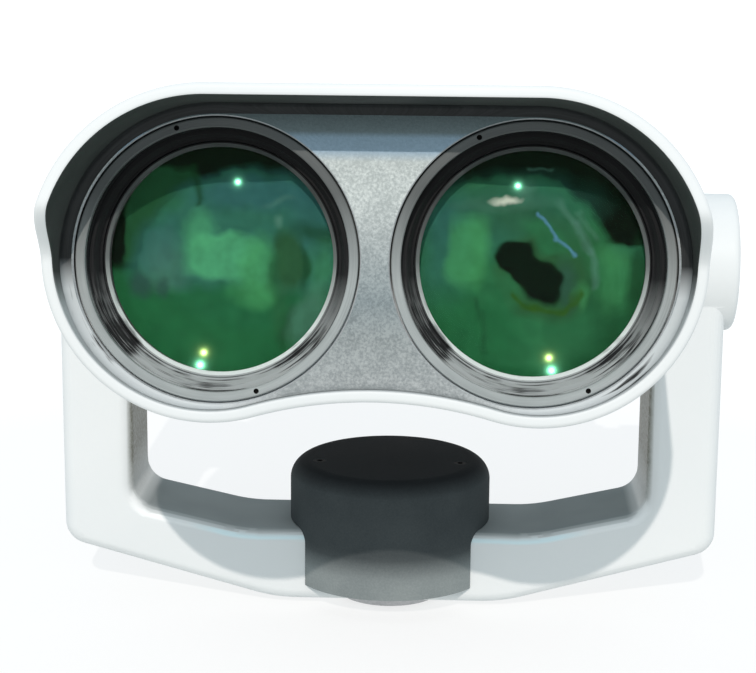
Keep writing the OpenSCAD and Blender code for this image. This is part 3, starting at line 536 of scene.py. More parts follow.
# concentric tool marks about the lens axis on one side, with painted shade under the visor and painted highlight
# streaks low down
def turnedMetal(kind, side):
    dark, light, roughness, specular, upper, highlightStreaks = turnedLooks[kind]
    material, coords = startMaterial(kind + side.title())
    across, depth, height = split(levelCoords(coords, sides[side] * head["lensX"]))
    angle = maths("ARCTAN2", across, height)
    turns = [maths(way, angle) for way in ("COSINE", "SINE")]
    row = maths("MULTIPLY_ADD", depth, 0.7, lengthOf(join(across, 0.0, height)))

    def track(rows, along, detail=3.0):
        way = join(times(row, rows), *(times(turn, along) for turn in turns))
        return noise(way, 1.0, detail, 0.6)

    marks, wear = track(2600.0, 1.2), track(260.0, 3.0, 4.0)
    colour = ramp(weighted((marks, 0.6), (wear, 0.4)), (0.3, dark), (0.7, light))
    shade = spread(height, 1.0, upper, *inMetres(visorShade))
    colour = blend(1.0, colour, shade, "MULTIPLY")
    # painted highlight: bright broken streaks that grow towards the bottom
    if highlightStreaks:
        streakTone, share, rise = highlightStreaks
        broken = weighted((track(900.0, 1.6), 0.6), (track(160.0, 2.4, 2.0), 0.4))
        mask = spread(broken, 0.0, 1.0, 0.60 - 0.25 * share, 0.68 - 0.25 * share)
        mask = times(mask, spread(height, 0.0, 1.0, *inMetres(rise)))
        colour = blend(mask, colour, streakTone)
    surface(colour, spread(wear, roughness - 0.07, roughness + 0.1), bump(marks, 0.25, 0.0001),
            specular=specular)
    return material


def plainMetal(name, dark, light, roughness, metallic, grainScale, specular):
    material, coords = startMaterial(name)
    grain = noise(coords, grainScale, 3.0, 0.6)
    broad = noise(coords, 40.0)
    tone = weighted((grain, 0.5), (broad, 0.5))
    surface(ramp(tone, (0.35, dark), (0.65, light)),
            spread(broad, roughness - 0.06, roughness + 0.1), bump(grain, 0.15, 0.0002),
            metallic=metallic, specular=specular)
    return material


def rubber():
    material, coords = startMaterial("rubber")
    fine = noise(coords, 1500.0, 2.0, 0.6)
    broad = noise(coords, 60.0)
    colour = ramp(broad, (0.3, (0.015, 0.015, 0.015)), (0.7, (0.035, 0.034, 0.033)))
    surface(colour, spread(fine, 0.55, 0.75), bump(fine, 0.3, 0.0003), specular=0.3)
    return material


def lining():
    material, coords = startMaterial("frictionLining")
    fleck = noise(coords, 700.0, 4.0, 0.7)
    colour = ramp(fleck, (0.4, (0.10, 0.075, 0.055)), (0.65, (0.20, 0.155, 0.115)))
    surface(colour, 0.8, bump(fleck, 0.5, 0.0003), specular=0.2)
    return material


# clear coated glass: mostly see-through, with a tinted gloss that gives the lamp's glints
def coatedGlass(name, tint, share, clear=(1.0, 1.0, 1.0)):
    material, coords = startMaterial(name)
    smear = noise(coords, 45.0)
    through = output("ShaderNodeBsdfTransparent", {"Color": clear + (1,)})
    gloss = output("ShaderNodeBsdfGlossy", {
        "Color": tint + (1,), "Roughness": spread(smear, 0.07, 0.09)})
    addNode("ShaderNodeOutputMaterial", {"Surface": mixShaders(share, through, gloss)})
    return material


# 1 inside a turned oval or rounded box (middle, half sizes, softness, turn in degrees, power)
def ovalMask(x, z, px, pz, rx, rz, soft, turn=0.0, power=2.0):
    c, s = math.cos(math.radians(turn)), math.sin(math.radians(turn))
    parts = []
    for cx, cz, size in ((c, s, rx), (-s, c, rz)):
        part = maths("MULTIPLY_ADD", x, cx / size, -(px * cx + pz * cz) / size)
        part = maths("MULTIPLY_ADD", z, cz / size, part)
        parts.append(maths("POWER", maths("ABSOLUTE", part), power))
    away = maths("POWER", plus(*parts), 1 / power)
    return spread(away, 1.0, 0.0, 1.0 - soft, 1.0 + soft)


# 1 along a straight stroke from one point to another
def strokeMask(x, z, x0, z0, x1, z1, width):
    length = math.hypot(x1 - x0, z1 - z0)
    ux, uz = (x1 - x0) / length, (z1 - z0) / length
    dx, dz = maths("SUBTRACT", x, x0), maths("SUBTRACT", z, z0)
    along = maths("MULTIPLY_ADD", dx, ux, times(dz, uz))
    along = maths("MINIMUM", maths("MAXIMUM", along, 0.0), length)
    ex = maths("MULTIPLY_ADD", along, -ux, dx)
    ez = maths("MULTIPLY_ADD", along, -uz, dz)
    away = maths("SQRT", maths("MULTIPLY_ADD", ex, ex, times(ez, ez)))
    return spread(away, 1.0, 0.0, width * 0.15, width)


# a stroke ends with its width, 1 mm or more, and an oval's fifth number is a softness below 1
def isStroke(spot):
    return len(spot) == 5 and spot[4] >= 1


# the inner glass: painted reflections in the coating's greens, with painted shade at the top, as soft coloured
# shapes, a little bent, under a faint gloss
def deepGlass(side):
    material, coords = startMaterial("deepGlass" + side.title())
    level = levelCoords(coords, sides[side] * head["lensX"])
    warp = addNode("ShaderNodeTexNoise", {"Vector": level, "Scale": 60.0, "Detail": 4.0})
    offset = output("ShaderNodeVectorMath", {0: warp.outputs[1], 1: (0.5, 0.5, 0.5)},
                    operation="SUBTRACT")
    spot = split(output("ShaderNodeVectorMath", {0: offset, 1: (0.012,) * 3, 2: level},
                        operation="MULTIPLY_ADD"))
    px, pz = times(spot[0], 1 / mm), times(spot[2], 1 / mm)
    # painted reflection: deep green low down, teal towards the top
    colour = ramp(spread(pz, 0.0, 1.0, -head["glassR"], head["glassR"]),
                  (0.08, lensReflectionTones["deep"]), (0.40, lensReflectionTones["green"]),
                  (0.9, lensReflectionTones["teal"]))
    for tone, share, *shape in lensReflections[side]:
        mask = (strokeMask if isStroke(shape) else ovalMask)(px, pz, *shape)
        colour = blend(times(mask, share), colour, lensReflectionTones[tone])
    cloud = noise(level, 150.0, 5.0, 0.65)
    colour = blend(1.0, colour, ramp(cloud, (0.25, 0.80), (0.75, 1.16)), "MULTIPLY")
    surface(colour, spread(cloud, 0.07, 0.085), specular=0.022, tint=(0.62, 1.0, 0.30, 1.0))
    return material


lensReflectionTones = {name: screenTone(*tone) for name, tone in {
    "black": (14, 19, 16), "deep": (34, 96, 58), "green": (46, 108, 70), "teal": (50, 104, 90),
    "bluish": (50, 98, 98), "flat": (36, 82, 52), "bright": (84, 172, 120), "vivid": (70, 150, 92),
    "moss": (44, 84, 52), "dusk": (28, 66, 40), "haze": (84, 128, 112), "smoke": (48, 78, 74),
    "blue": (86, 136, 168), "white": (236, 240, 222), "olive": (48, 86, 28)}.items()}
# painted reflections and shade on the inner glass: tone, share, then an oval (x, z, half sizes, softness, turn,
# power) or a stroke (ends, width), in mm from the lens axis
lensReflections = {
    "left": [
        ("black", 1.0, 0, 40, 90, 46, 0.06, 0, 8), ("flat", 1.0, -29, 19, 17, 24, 0.05, -8, 6),
        ("deep", 0.9, -46, -20, 14, 15, 0.3), ("green", 1.0, 12, -5, 51, 45.5, 0.02),
        ("teal", 0.9, 13, 4, 46, 36, 0.12), ("bluish", 0.9, 17, 31, 32, 8, 0.4),
        ("bluish", 0.6, 42, 20, 9, 18, 0.5), ("bluish", 0.7, -33, 4, 8, 14, 0.5, -25),
        ("haze", 0.40, -27, -3, 9, 13, 0.5), ("deep", 0.9, 0, -42, 60, 29, 0.10, 0, 4),
        ("dusk", 0.7, -13, 42, -13, 25, 2.2), ("bright", 0.72, -1, 1, 17, 11, 0.16, -4, 4),
        ("bright", 0.5, -11, 14, 7, 8, 0.4), ("vivid", 0.6, 17, -4, 8, 14, 0.35),
        ("vivid", 0.5, 13, -15, 9, 6, 0.5), ("moss", 0.9, 30, -1, 7, 13, 0.25, 0, 3),
        ("moss", 0.4, 27, -27, 5, 16, 0.5, 12), ("dusk", 0.8, 37, -4, 2, 9, 0.5),
        ("dusk", 0.6, 22, -6, 2.5, 8, 0.5), ("dusk", 0.7, 44, 12, 11, 4.5, 0.5, -15),
        ("dusk", 0.5, 26, -38, 33, -22, 3.4), ("vivid", 0.35, 45, -4, 6, 12, 0.4),
        ("haze", 0.5, 40, -27, 8, 14, 0.4, -25), ("smoke", 0.8, -38, -13, 5, 6, 0.4),
        ("smoke", 0.7, -29, -13, 3, 5, 0.5), ("haze", 0.7, 27, 17, 2, 3, 0.6),
        ("haze", 0.4, 26, 27, 6, 1.2, 0.7, 15)],
    "right": [
        ("black", 1.0, 0, 60, 90, 51.5, 0.02, 0, 8),
        ("green", 1.0, -12, -4, 50.5, 44, 0.04, 0, 2.2), ("teal", 0.7, -16, 22, 40, 16, 0.4, 6),
        ("vivid", 0.35, 37, 3, 7, 5, 0.5), ("bluish", 0.5, -40, 8, 11, 26, 0.5),
        ("vivid", 0.65, -29, 5, 9, 15, 0.25, -8, 4), ("vivid", 0.3, -24, 13, 6, 9, 0.4),
        ("deep", 0.8, -26, -34, 28, 20, 0.4), ("moss", 0.5, 2, 18, 34, 10, 0.5, -24),
        ("dusk", 0.6, 26, -28, 20, 20, 0.3), ("green", 0.6, 12, -30, 20, 14, 0.3),
        ("vivid", 0.35, 39, -8, 9, 13, 0.4), ("moss", 0.85, 5, -6, 22, 19, 0.12, -25),
        ("smoke", 0.5, 16, -9, 4, 10, 0.5), ("vivid", 0.45, 23, -14, 3, 5, 0.5),
        ("green", 0.7, -9, -12, 5, 8, 0.4, 35), ("green", 0.8, 8, 12, 12, 5, 0.3, -35),
        ("black", 1.0, -6.5, 3.6, 9.5, 8, 0.10), ("black", 1.0, 0, -3, 9, 8, 0.12, -45),
        ("black", 1.0, 6, -8.5, 9, 10, 0.10), ("green", 0.9, 7.5, 8, 4.5, 3.2, 0.3, -40),
        ("olive", 0.8, -8, -14, 2, -21, 2.2), ("olive", 0.8, 2, -21, 14, -20.5, 2.4),
        ("olive", 0.8, 14, -20.5, 22, -13, 2.2), ("haze", 0.45, 13, 27, 22, 18, 3.0),
        ("haze", 0.55, 22, 18, 28, 4, 3.2), ("haze", 0.5, 28, 4, 28.5, -10, 2.6),
        ("haze", 0.3, 23, 24, 31, 11, 2.4), ("blue", 0.75, 4.3, 22.4, 11, 12, 1.3),
        ("blue", 0.75, 11, 12, 20.5, 4, 1.5), ("dusk", 0.8, 49, -8, 5, 18, 0.5),
        ("dusk", 0.4, -25, -16, -20, -42, 2.6), ("haze", 0.35, -12, 27, 17, 3, 0.7, 4),
        ("haze", 0.6, -4, 34, 4.5, 3.5, 0.8), ("white", 0.75, -12.5, 28.6, 6, 1.7, 0.6, 8),
        ("haze", 0.35, -1, 43.2, 9, 42.2, 1.5)]}


# dark and light tone, roughness, metallic, grain scale, specular
plainLooks = {
    "steel": ((0.36, 0.37, 0.38), (0.50, 0.51, 0.52), 0.34, 0.9, 500, 0.5),
    "darkSteel": ((0.006, 0.006, 0.007), (0.014, 0.014, 0.015), 0.45, 0.0, 500, 0.04),
    "holeBlack": ((0.006, 0.006, 0.006), (0.012, 0.012, 0.012), 0.6, 0.0, 500, 0.04),
    "bronze": ((0.42, 0.27, 0.12), (0.58, 0.40, 0.20), 0.36, 0.9, 500, 0.5),
    "blackAnodised": ((0.014, 0.014, 0.015), (0.035, 0.035, 0.037), 0.42, 0.2, 1200, 0.5),
    "aluminium": ((0.42, 0.43, 0.44), (0.56, 0.57, 0.58), 0.36, 0.7, 500, 0.5),
    "lipMetal": ((0.30, 0.32, 0.33), (0.50, 0.53, 0.54), 0.4, 0.0, 500, 0.5)}
paint, yokePaint = whitePaint("whitePaint"), whitePaint("yokePaint", True)
hubBlack, blackInside, silver = hubPaint(), hoodLining(), castSilver()
steel, darkSteel, holeBlack, bronze, blackAnodised, aluminium, lipMetal = (
    plainMetal(name, *look) for name, look in plainLooks.items())
blackRubber, brownLining = rubber(), lining()
clearGlass = coatedGlass("clearGlass", (0.75, 0.85, 0.80), 0.08, (0.93, 0.97, 0.95))
frontGlass = coatedGlass("frontGlass", (0.25, 1.0, 0.60), 0.0025)
slotLooks = {
    "white_paint": paint, "hub_black": hubBlack, "plate_silver": silver,
    "ring_aluminium": aluminium, "machined_steel": steel, "steel_screws": steel,
    "dark_screws": darkSteel, "bronze": bronze, "black_anodised": blackAnodised,
    "coated_glass": clearGlass, "prism_glass": clearGlass, "rubber_black": blackRubber,
    "friction_lining": brownLining}
for row in frame["record"]["subparts"]:
    mesh = nodes[row["node"]].data
    mesh.materials.clear()
    mesh.materials.append(slotLooks[row["material_slot"]])
print("materials are made")


# helpers for Geometry Nodes trees

# a tree with its lengths and numbers as float inputs, and others such as a material by kind
def startTree(name, floats, **others):
    tree = bpy.data.node_groups.new(name, "GeometryNodeTree")
    tree.interface.new_socket(name="Geometry", in_out="INPUT", socket_type="NodeSocketGeometry")
    tree.interface.new_socket(name="Geometry", in_out="OUTPUT", socket_type="NodeSocketGeometry")
    keys = {}
    for label, kind in (dict.fromkeys(floats, "Float") | others).items():
        keys[label] = tree.interface.new_socket(
            name=label, in_out="INPUT", socket_type="NodeSocket" + kind).identifier
    building["tree"] = tree
    return tree, keys, addNode("NodeGroupInput").outputs


def endTree(geometry, material, selection=None, second=None):
    plain = output("GeometryNodeRealizeInstances", {0: geometry})
    shown = output("GeometryNodeSetMaterial", {"Geometry": plain, "Material": material})
    if second:
        shown = output("GeometryNodeSetMaterial", {
            "Geometry": shown, "Selection": selection, "Material": second})
    addNode("NodeGroupOutput", {0: shown})


def attribute(name, kind):
    return output("GeometryNodeInputNamedAttribute", {"Name": name}, data_type=kind)


def growTree(piece, tree, keys, values):
    grown = piece.modifiers.new("shape", "NODES")
    grown.node_group = tree
    for label, value in values.items():
        grown[keys[label]] = value
    bakeModifiers(piece)


# the head's outline: shoulder arc, lobe arc and saddle arc on each side, drawn in by inset

outlineShape = {
    "hoodR": 75.6, "lobeShift": 2.7, "saddle": 62.4, "shoulderSteps": 60, "lobeSteps": 70,
    "saddleSteps": 24, "topSteps": 16}


def headOutline(inset):
    s = outlineShape
    up, lensX = s["hoodR"] - inset, head["lensX"]
    low, cx, dip = up - s["lobeShift"], lensX + s["lobeShift"], s["saddle"] - inset
    wide = (cx * cx + dip * dip - low * low) / (2 * (low - dip))
    lean = math.degrees(math.atan2(cx, dip + wide))

    def arc(x, z, r, start, end, count, first=0):
        turns = [math.radians(start + (end - start) * i / count) for i in range(first, count + 1)]
        return [(x + r * math.cos(a), z + r * math.sin(a)) for a in turns]

    half = [(lensX * i / s["topSteps"], up) for i in range(s["topSteps"])]
    half += arc(lensX, 0, up, 90, 0, s["shoulderSteps"])
    half += arc(cx, 0, low, 0, -90 - lean, s["lobeSteps"], 1)
    half += arc(0, -dip - wide, wide, 90 - lean, 90, s["saddleSteps"], 1)
    return half + [(-x, z) for x, z in half[-2:0:-1]]


# hood: an outline swept into a shell whose front edge follows the visor rule

hood = {
    "wall": 5.6, "visorReach": 50.0, "sideReach": 20.0, "chinSlope": 0.181, "sweepFoot": 3.0,
    "sweepLow": -1.2, "sweepHigh": 24.2, "outerRound": 2.2, "innerRound": 1.6, "rimBand": 1.0,
    "innerFoot": 4.0, "backChamfer": 0.8}


def visorSweepTree():
    tree, keys, given = startTree(
        "visorSweep", ("Visor reach", "Side reach", "Chin slope", "Sweep foot", "Sweep low",
                       "Sweep high"), Paint="Material", Lining="Material")
    height = split(output("GeometryNodeInputPosition"))[2]
    below = maths("MAXIMUM", maths("SUBTRACT", given["Sweep foot"], height), 0.0)
    base = maths("SUBTRACT", given["Side reach"], times(below, given["Chin slope"]))
    rise = output("ShaderNodeMapRange", {
        0: height, 1: given["Sweep low"], 2: given["Sweep high"], 3: 0.0, 4: 1.0},
        interpolation_type="SMOOTHSTEP")
    reach = maths("MULTIPLY_ADD", rise, maths("SUBTRACT", given["Visor reach"], base), base)
    reach = times(reach, attribute("rimShare", "FLOAT"))
    swept = output("GeometryNodeSetPosition", {
        "Geometry": given[0], "Offset": join(y=times(reach, -1.0))})
    endTree(swept, given["Paint"], attribute("inside", "BOOLEAN"), given["Lining"])
    return tree, keys


def makeHood():
    wall, outer, inner, band = (hood[k] for k in ("wall", "outerRound", "innerRound", "rimBand"))
    plateY, hoodBack = head["plateY"], head["hoodBack"]
    quarter = [math.radians(t) for t in range(0, 91, 15)]
    section = [(0, hoodBack - hood["backChamfer"], 0), (0, plateY, 0),
               (0, plateY + outer + band, 1)]
    section += [(outer - outer * math.cos(a), plateY + outer - outer * math.sin(a), 1)
                for a in quarter]
    section += [(wall - inner + inner * math.sin(a), plateY + inner - inner * math.cos(a), 1)
                for a in quarter]
    section += [(wall, plateY + inner + band, 1), (wall, plateY + hood["innerFoot"], 0),
                (wall, hoodBack, 0), (hood["backChamfer"], hoodBack, 0)]
    lined = {k for k, (e, y, rim) in enumerate(section) if e > wall - inner / 2}
    loops = [headOutline(e) for e, y, rim in section]
    count, rings = len(section), len(loops[0])
    verts = [(loops[k][i][0], section[k][1], loops[k][i][1])
             for i in range(rings) for k in range(count)]
    faces = loopFaces(rings, count, True)
    mesh = bpy.data.meshes.new("hoodShell")
    mesh.from_pydata([Vector(v) * mm for v in verts], [], faces)
    rim = mesh.attributes.new("rimShare", "FLOAT", "POINT")
    rim.data.foreach_set("value", [float(part[2]) for part in section] * rings)
    dark = mesh.attributes.new("inside", "BOOLEAN", "FACE")
    dark.data.foreach_set("value", [all(v % count in lined for v in f) for f in faces])
    piece = link(bpy.data.objects.new("hoodShell", mesh))
    growTree(piece, *visorSweepTree(), {
        "Visor reach": hood["visorReach"] * mm, "Side reach": hood["sideReach"] * mm,
        "Chin slope": hood["chinSlope"], "Sweep foot": hood["sweepFoot"] * mm,
        "Sweep low": hood["sweepLow"] * mm, "Sweep high": hood["sweepHigh"] * mm,
        "Paint": paint, "Lining": blackInside})
    closeMesh(piece.data)
    piece.data.transform(headTurn)
    smoothShade(piece.data, 40)
    settle(piece, "head", "hood")


makeHood()
print("hood is made")


# front casting: flat face with two bores, and a fillet that climbs the hood's wall

casting = {
    "gap": 0.15, "fillet": 4.5, "leastFillet": 0.12, "probe": 0.5, "land": 0.05,
    "boreChamfer": 0.5, "cellPlay": 0.1, "steps": 6, "boreSteps": 160, "webHalf": 67.0}


# each point of the outline with its inward way and the fillet that the bores leave room for
def filletSpots(edge):
    c, spots = casting, []
    bore = head["boreR"] + c["boreChamfer"] + c["land"]
    for (x, z), (ix, iz) in zip(headOutline(edge), headOutline(edge + c["probe"])):
        room = math.hypot(abs(x) - head["lensX"], z) - bore
        spots.append((x, z, (ix - x) / c["probe"], (iz - z) / c["probe"],
                      min(c["fillet"], max(c["leastFillet"], room))))
    return spots


def makeFrontCasting():
    c, plateY, back = casting, head["plateY"], head["plateBack"]
    spots = filletSpots(hood["wall"] + c["gap"])
    outer = []
    for i in range(c["steps"] + 1):
        t = math.radians(90 * i / c["steps"])
        outer.append([(x + dx * f * (1 - math.sin(t)), plateY - f + f * math.cos(t),
                       z + dz * f * (1 - math.sin(t))) for x, z, dx, dz, f in spots])
    outer.append([(x, back, z) for x, z, dx, dz, f in spots])
    count = len(outer[0])
    verts = [v for loop in outer for v in loop]
    faces = loopFaces(len(outer), count, False)
    tints = []
    for f in faces:
        x, y, z = verts[f[0]]
        tints.append(0 if abs(x) < c["webHalf"] and z < 0 else 1 if x < 0 else 2)
    bores, boreR, steps = [], head["boreR"], c["boreSteps"]
    clearR = head["cellR"] + c["cellPlay"]
    rows = [(boreR + c["boreChamfer"], plateY), (boreR, plateY + c["boreChamfer"]),
            (boreR, head["ringBack"]), (clearR, head["ringBack"]), (clearR, back)]
    for side in (-1, 1):
        start = len(verts)
        bores.append(start)
        for r, y in rows:
            verts += circleSpots(side * head["lensX"], y, 0, r, steps)
        sleeve = loopFaces(len(rows), steps, False)
        faces += [tuple(start + v for v in f) for f in sleeve]
        # the bore walls take the black lining as a painted shade, so that the gap round each bezel reads as a dark
        # line
        tints += [4 if f[0] < steps else 3 for f in sleeve]
    for firstOuter, row in ((0, 0), ((len(outer) - 1) * count, len(rows) - 1)):
        index = [list(range(firstOuter, firstOuter + count))]
        index += [list(range(b + row * steps, b + (row + 1) * steps)) for b in bores]
        flat = [i for loop in index for i in loop]
        loops = [[Vector((verts[i][0], verts[i][2], 0)) for i in loop] for loop in index]
        caps = [tuple(flat[i] for i in f) for f in tessellate_polygon(loops)]
        faces += caps
        tints += [0] * len(caps)
    rims = [turnedMetal("rimMetal", side) for side in sides]
    piece = makePiece("frontCasting", verts, faces, [silver, *rims, blackInside, lipMetal], 20,
                      tints=tints)
    evenNormals(piece)
    settle(piece, "head", "front_plate")


makeFrontCasting()
print("front casting is made")


# bezel rings with their spanner holes

bezel = {"edge": 0.4, "holeR": 1.2, "holeDepth": 2.4, "holeSteps": 24, "left": 162.5,
         "right": 155.8, "steps": 192}


def makeBezel(side):
    b, x, e, n = bezel, sides[side] * head["lensX"], bezel["edge"], bezel["holeSteps"]
    rIn, rOut, y = head["ringIn"], head["ringR"], head["plateY"]
    ring = turned("bezelRing" + side.title(),
                  [(rIn, y + e), (rIn + e, y), (rOut - e, y), (rOut, y + e),
                   (rOut, head["ringBack"]), (rIn, head["ringBack"])],
                  x, 0, [turnedMetal("bezelMetal", side), holeBlack], 25, b["steps"])
    verts, faces = [], []
    for turn in (0, 180):
        a = math.radians(b[side] + turn)
        cx, cz = x + (rIn + rOut) / 2 * math.sin(a), (rIn + rOut) / 2 * math.cos(a)
        start = len(verts)
        for depth in (-1.0, b["holeDepth"]):
            verts += circleSpots(cx, y + depth, cz, b["holeR"], n)
        faces += [tuple(range(start, start + n)), tuple(range(start + n, start + 2 * n))]
        faces += [tuple(start + v for v in f) for f in loopFaces(2, n, False)]
    cutter = makePiece("cutter", verts, faces, [holeBlack])
    cut = ring.modifiers.new("holes", "BOOLEAN")
    cut.object, cut.operation, cut.solver = cutter, "DIFFERENCE", "EXACT"
    bakeModifiers(ring)
    bpy.data.objects.remove(cutter)
    smoothShade(ring.data, 25)
    settle(ring, "head", "bezel_ring_" + side)


# lens cells, retaining rings and the two glasses of each objective

cell = {
    "ridges": 7, "ridgeDepth": 0.45, "mouthR": 59.0, "mouthRidges": 3, "mouthDepth": 0.3,
    "mouthEdge": 0.5, "shelfY": -250.0, "shelfR": 57.0, "coneEndR": 55.1, "coneEndY": -243.0,
    "flangeR": 63.2, "flangeT": 5.0, "lipR": 51.0, "glassPlay": 0.1, "steps": 160}
keeperRing = {"wall": 2.6, "chamfer": 1.6, "edge": 0.4}
glasses = {
    "frontCurve": 189.0, "backCurve": 208.0, "flintCurve": 187.0, "rearBow": 1.5, "domeGap": 0.1,
    "rows": 40, "steps": 128}


# a shallow dome's profile from the axis to its rim
def bowed(radius, bow, y):
    curve = (radius * radius + bow * bow) / (2 * abs(bow))
    way = 1 if bow > 0 else -1
    radii = [radius * i / glasses["rows"] for i in range(glasses["rows"] + 1)]
    return [(r, y + way * (curve - math.sqrt(curve ** 2 - r ** 2))) for r in radii]


def ridged(start, end, count, depth):
    rows = []
    for i in range(count):
        for t, out in ((0.0, 0.0), (0.3, 0.0), (0.5, depth), (0.8, depth)):
            u = (i + t) / count
            rows.append((start[0] + (end[0] - start[0]) * u + out,
                         start[1] + (end[1] - start[1]) * u))
    return rows + [end]


# a piece turned about the lens axis on one side
def lensPart(side, name, node, profile, materials, sharpDegrees, steps, bands=None):
    piece = turned(name + side.title(), profile, sides[side] * head["lensX"], 0, materials,
                   sharpDegrees, steps, bands=bands)
    settle(piece, "head", node + side)


def makeCell(side, cellBlack):
    c, h, seatR = cell, head, head["glassR"] + cell["glassPlay"]
    flangeEnd = h["plateBack"] + c["flangeT"]
    profile = [(c["mouthR"], h["ringBack"]), (h["cellR"], h["ringBack"]),
               (h["cellR"], h["plateBack"]), (c["flangeR"], h["plateBack"]),
               (c["flangeR"], flangeEnd), (h["cellR"], flangeEnd), (h["cellR"], h["cellEnd"]),
               (c["lipR"], h["cellEnd"]), (c["lipR"], h["cellLipY"]), (seatR, h["cellLipY"]),
               (seatR, c["coneEndY"])]
    profile += ridged((c["coneEndR"], c["coneEndY"]), (c["shelfR"], c["shelfY"]), c["ridges"],
                      c["ridgeDepth"])
    profile += ridged((c["mouthR"], c["shelfY"]), (c["mouthR"], h["ringBack"] + c["mouthEdge"]),
                      c["mouthRidges"], c["mouthDepth"])
    lensPart(side, "lensCell", "lens_cell_", profile, [cellBlack], 20, c["steps"])


def makeKeeperRing(side, cellBlack):
    k, glassR, front, back = keeperRing, head["glassR"], head["seatY"], head["crownY"]
    inner = glassR - k["wall"]
    profile = [(inner, front + k["chamfer"]), (inner + k["chamfer"], front),
               (glassR - k["edge"], front), (glassR, front + k["edge"]), (glassR, back),
               (inner, back)]
    lensPart(side, "retainingRing", "retaining_ring_", profile,
             [turnedMetal("retainerMetal", side), cellBlack], 25, cell["steps"],
             [0, 1, 1, 1, 1, 0])


def makeGlasses(side):
    g, h, glassR = glasses, head, head["glassR"]
    domeR = glassR - keeperRing["wall"] - g["domeGap"]
    frontBow, backBow, hollow = (
        g[curve] - math.sqrt(g[curve] ** 2 - rim ** 2)
        for curve, rim in (("frontCurve", domeR), ("backCurve", glassR), ("flintCurve", glassR)))
    crown = bowed(domeR, frontBow, h["crownY"] - frontBow) + [(glassR, h["crownY"])]
    crown += bowed(glassR, -backBow, h["spacerY"] + backBow)[::-1]
    flint = bowed(glassR, -hollow, h["flintY"] + hollow)
    flint += bowed(glassR, g["rearBow"], h["cellLipY"] - g["rearBow"])[::-1]
    for name, node, profile, look in (
            ("objectiveCrown", "objective_crown_", crown, frontGlass),
            ("objectiveFlint", "objective_flint_", flint, deepGlass(side))):
        lensPart(side, name, node, profile, [look], 20, g["steps"])


for side in sides:
    makeBezel(side)
    innerBlack = turnedMetal("cellBlack", side)
    makeCell(side, innerBlack)
    makeKeeperRing(side, innerBlack)
    makeGlasses(side)
print("rings, cells and lenses are made")


# yoke, hub cover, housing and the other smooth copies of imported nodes

dressed("yoke", "yokeCasting", yokePaint, 35, "yoke_body")
dressed("hub_cover", "hubCover", hubBlack, 30, "yoke_body")
for side in sides:
    dressed("trunnion_cap_" + side, "trunnionCap" + side.title(), paint, 30, "yoke_body")
dressed("housing", "prismHousing", paint, 30, "head")
dressed("rear_cover", "rearCover", paint, 30, "head")
print("castings are dressed")


# screws: a socket head set at each spot, by a Geometry Nodes tree

def screwTree():
    tree, keys, given = startTree(
        "socketScrews", ("Head radius", "Head height", "Socket radius", "Chamfer"),
        Steel="Material")
    radius, height, chamfer = (given[k] for k in ("Head radius", "Head height", "Chamfer"))
    depth = maths("SUBTRACT", height, chamfer)
    body = output("GeometryNodeMeshCylinder", {"Vertices": 40, "Radius": radius, "Depth": depth})
    crown = output("GeometryNodeMeshCone", {
        "Vertices": 40, "Radius Bottom": radius, "Depth": chamfer,
        "Radius Top": maths("SUBTRACT", radius, chamfer)})
    lifted = output("GeometryNodeTransform", {
        "Geometry": crown, "Translation": join(z=times(depth, 0.5))})
    whole = addNode("GeometryNodeMeshBoolean", {1: body}, operation="UNION")
    tree.links.new(lifted, whole.inputs[1])
    key = output("GeometryNodeMeshCylinder", {
        "Vertices": 6, "Radius": given["Socket radius"], "Depth": height})
    raised = output("GeometryNodeTransform", {
        "Geometry": key, "Translation": join(z=times(height, 0.5))})
    socketed = output("GeometryNodeMeshBoolean", {0: whole.outputs[0], 1: raised},
                      operation="DIFFERENCE")
    turn = output("FunctionNodeAlignRotationToVector", {
        "Vector": attribute("facing", "FLOAT_VECTOR")}, axis="Z")
    placed = output("GeometryNodeInstanceOnPoints", {
        "Points": given[0], "Instance": socketed, "Rotation": turn})
    endTree(placed, given["Steel"])
    return tree, keys


# heads on the rear cover, facing back; spots are the places in one quarter, from the cover's middle
coverScrews = {
    "headR": 4.3, "headT": 4.6, "socketR": 2.15, "chamfer": 0.35, "seat": 99.4,
    "spots": ((119.0, 38.0), (85.333, 67.0))}


def makeCoverScrews():
    c = coverScrews
    spots = [Vector((sx * x, c["seat"], sz * z)) * mm for sx in (-1, 1) for sz in (-1, 1)
             for x, z in c["spots"]]
    mesh = bpy.data.meshes.new("rearCoverScrews")
    mesh.from_pydata(spots, [], [])
    facing = mesh.attributes.new("facing", "FLOAT_VECTOR", "POINT")
    facing.data.foreach_set("vector", (0, 1, 0) * len(spots))
    piece = link(bpy.data.objects.new("rearCoverScrews", mesh))
    growTree(piece, *screwTree(), {
        "Head radius": c["headR"] * mm, "Head height": c["headT"] * mm,
        "Socket radius": c["socketR"] * mm, "Chamfer": c["chamfer"] * mm, "Steel": steel})
    piece.data.transform(headTurn)
    smoothShade(piece.data, 25)
    settle(piece, "head", "rear_cover_screws")


makeCoverScrews()
print("screws are made")


# focus rings: a turned core with ribs set round it by a tree

focusRing = {
    "coreR": 27.6, "outR": 29.0, "boreR": 22.1, "frontY": 113.3, "backY": 133.3, "lip": 2.6,
    "lipSlope": 0.4, "edge": 0.8, "ribs": 30, "ribHalf": 1.95, "ribSunk": 0.02, "ribOver": 0.2,
    "steps": 120}


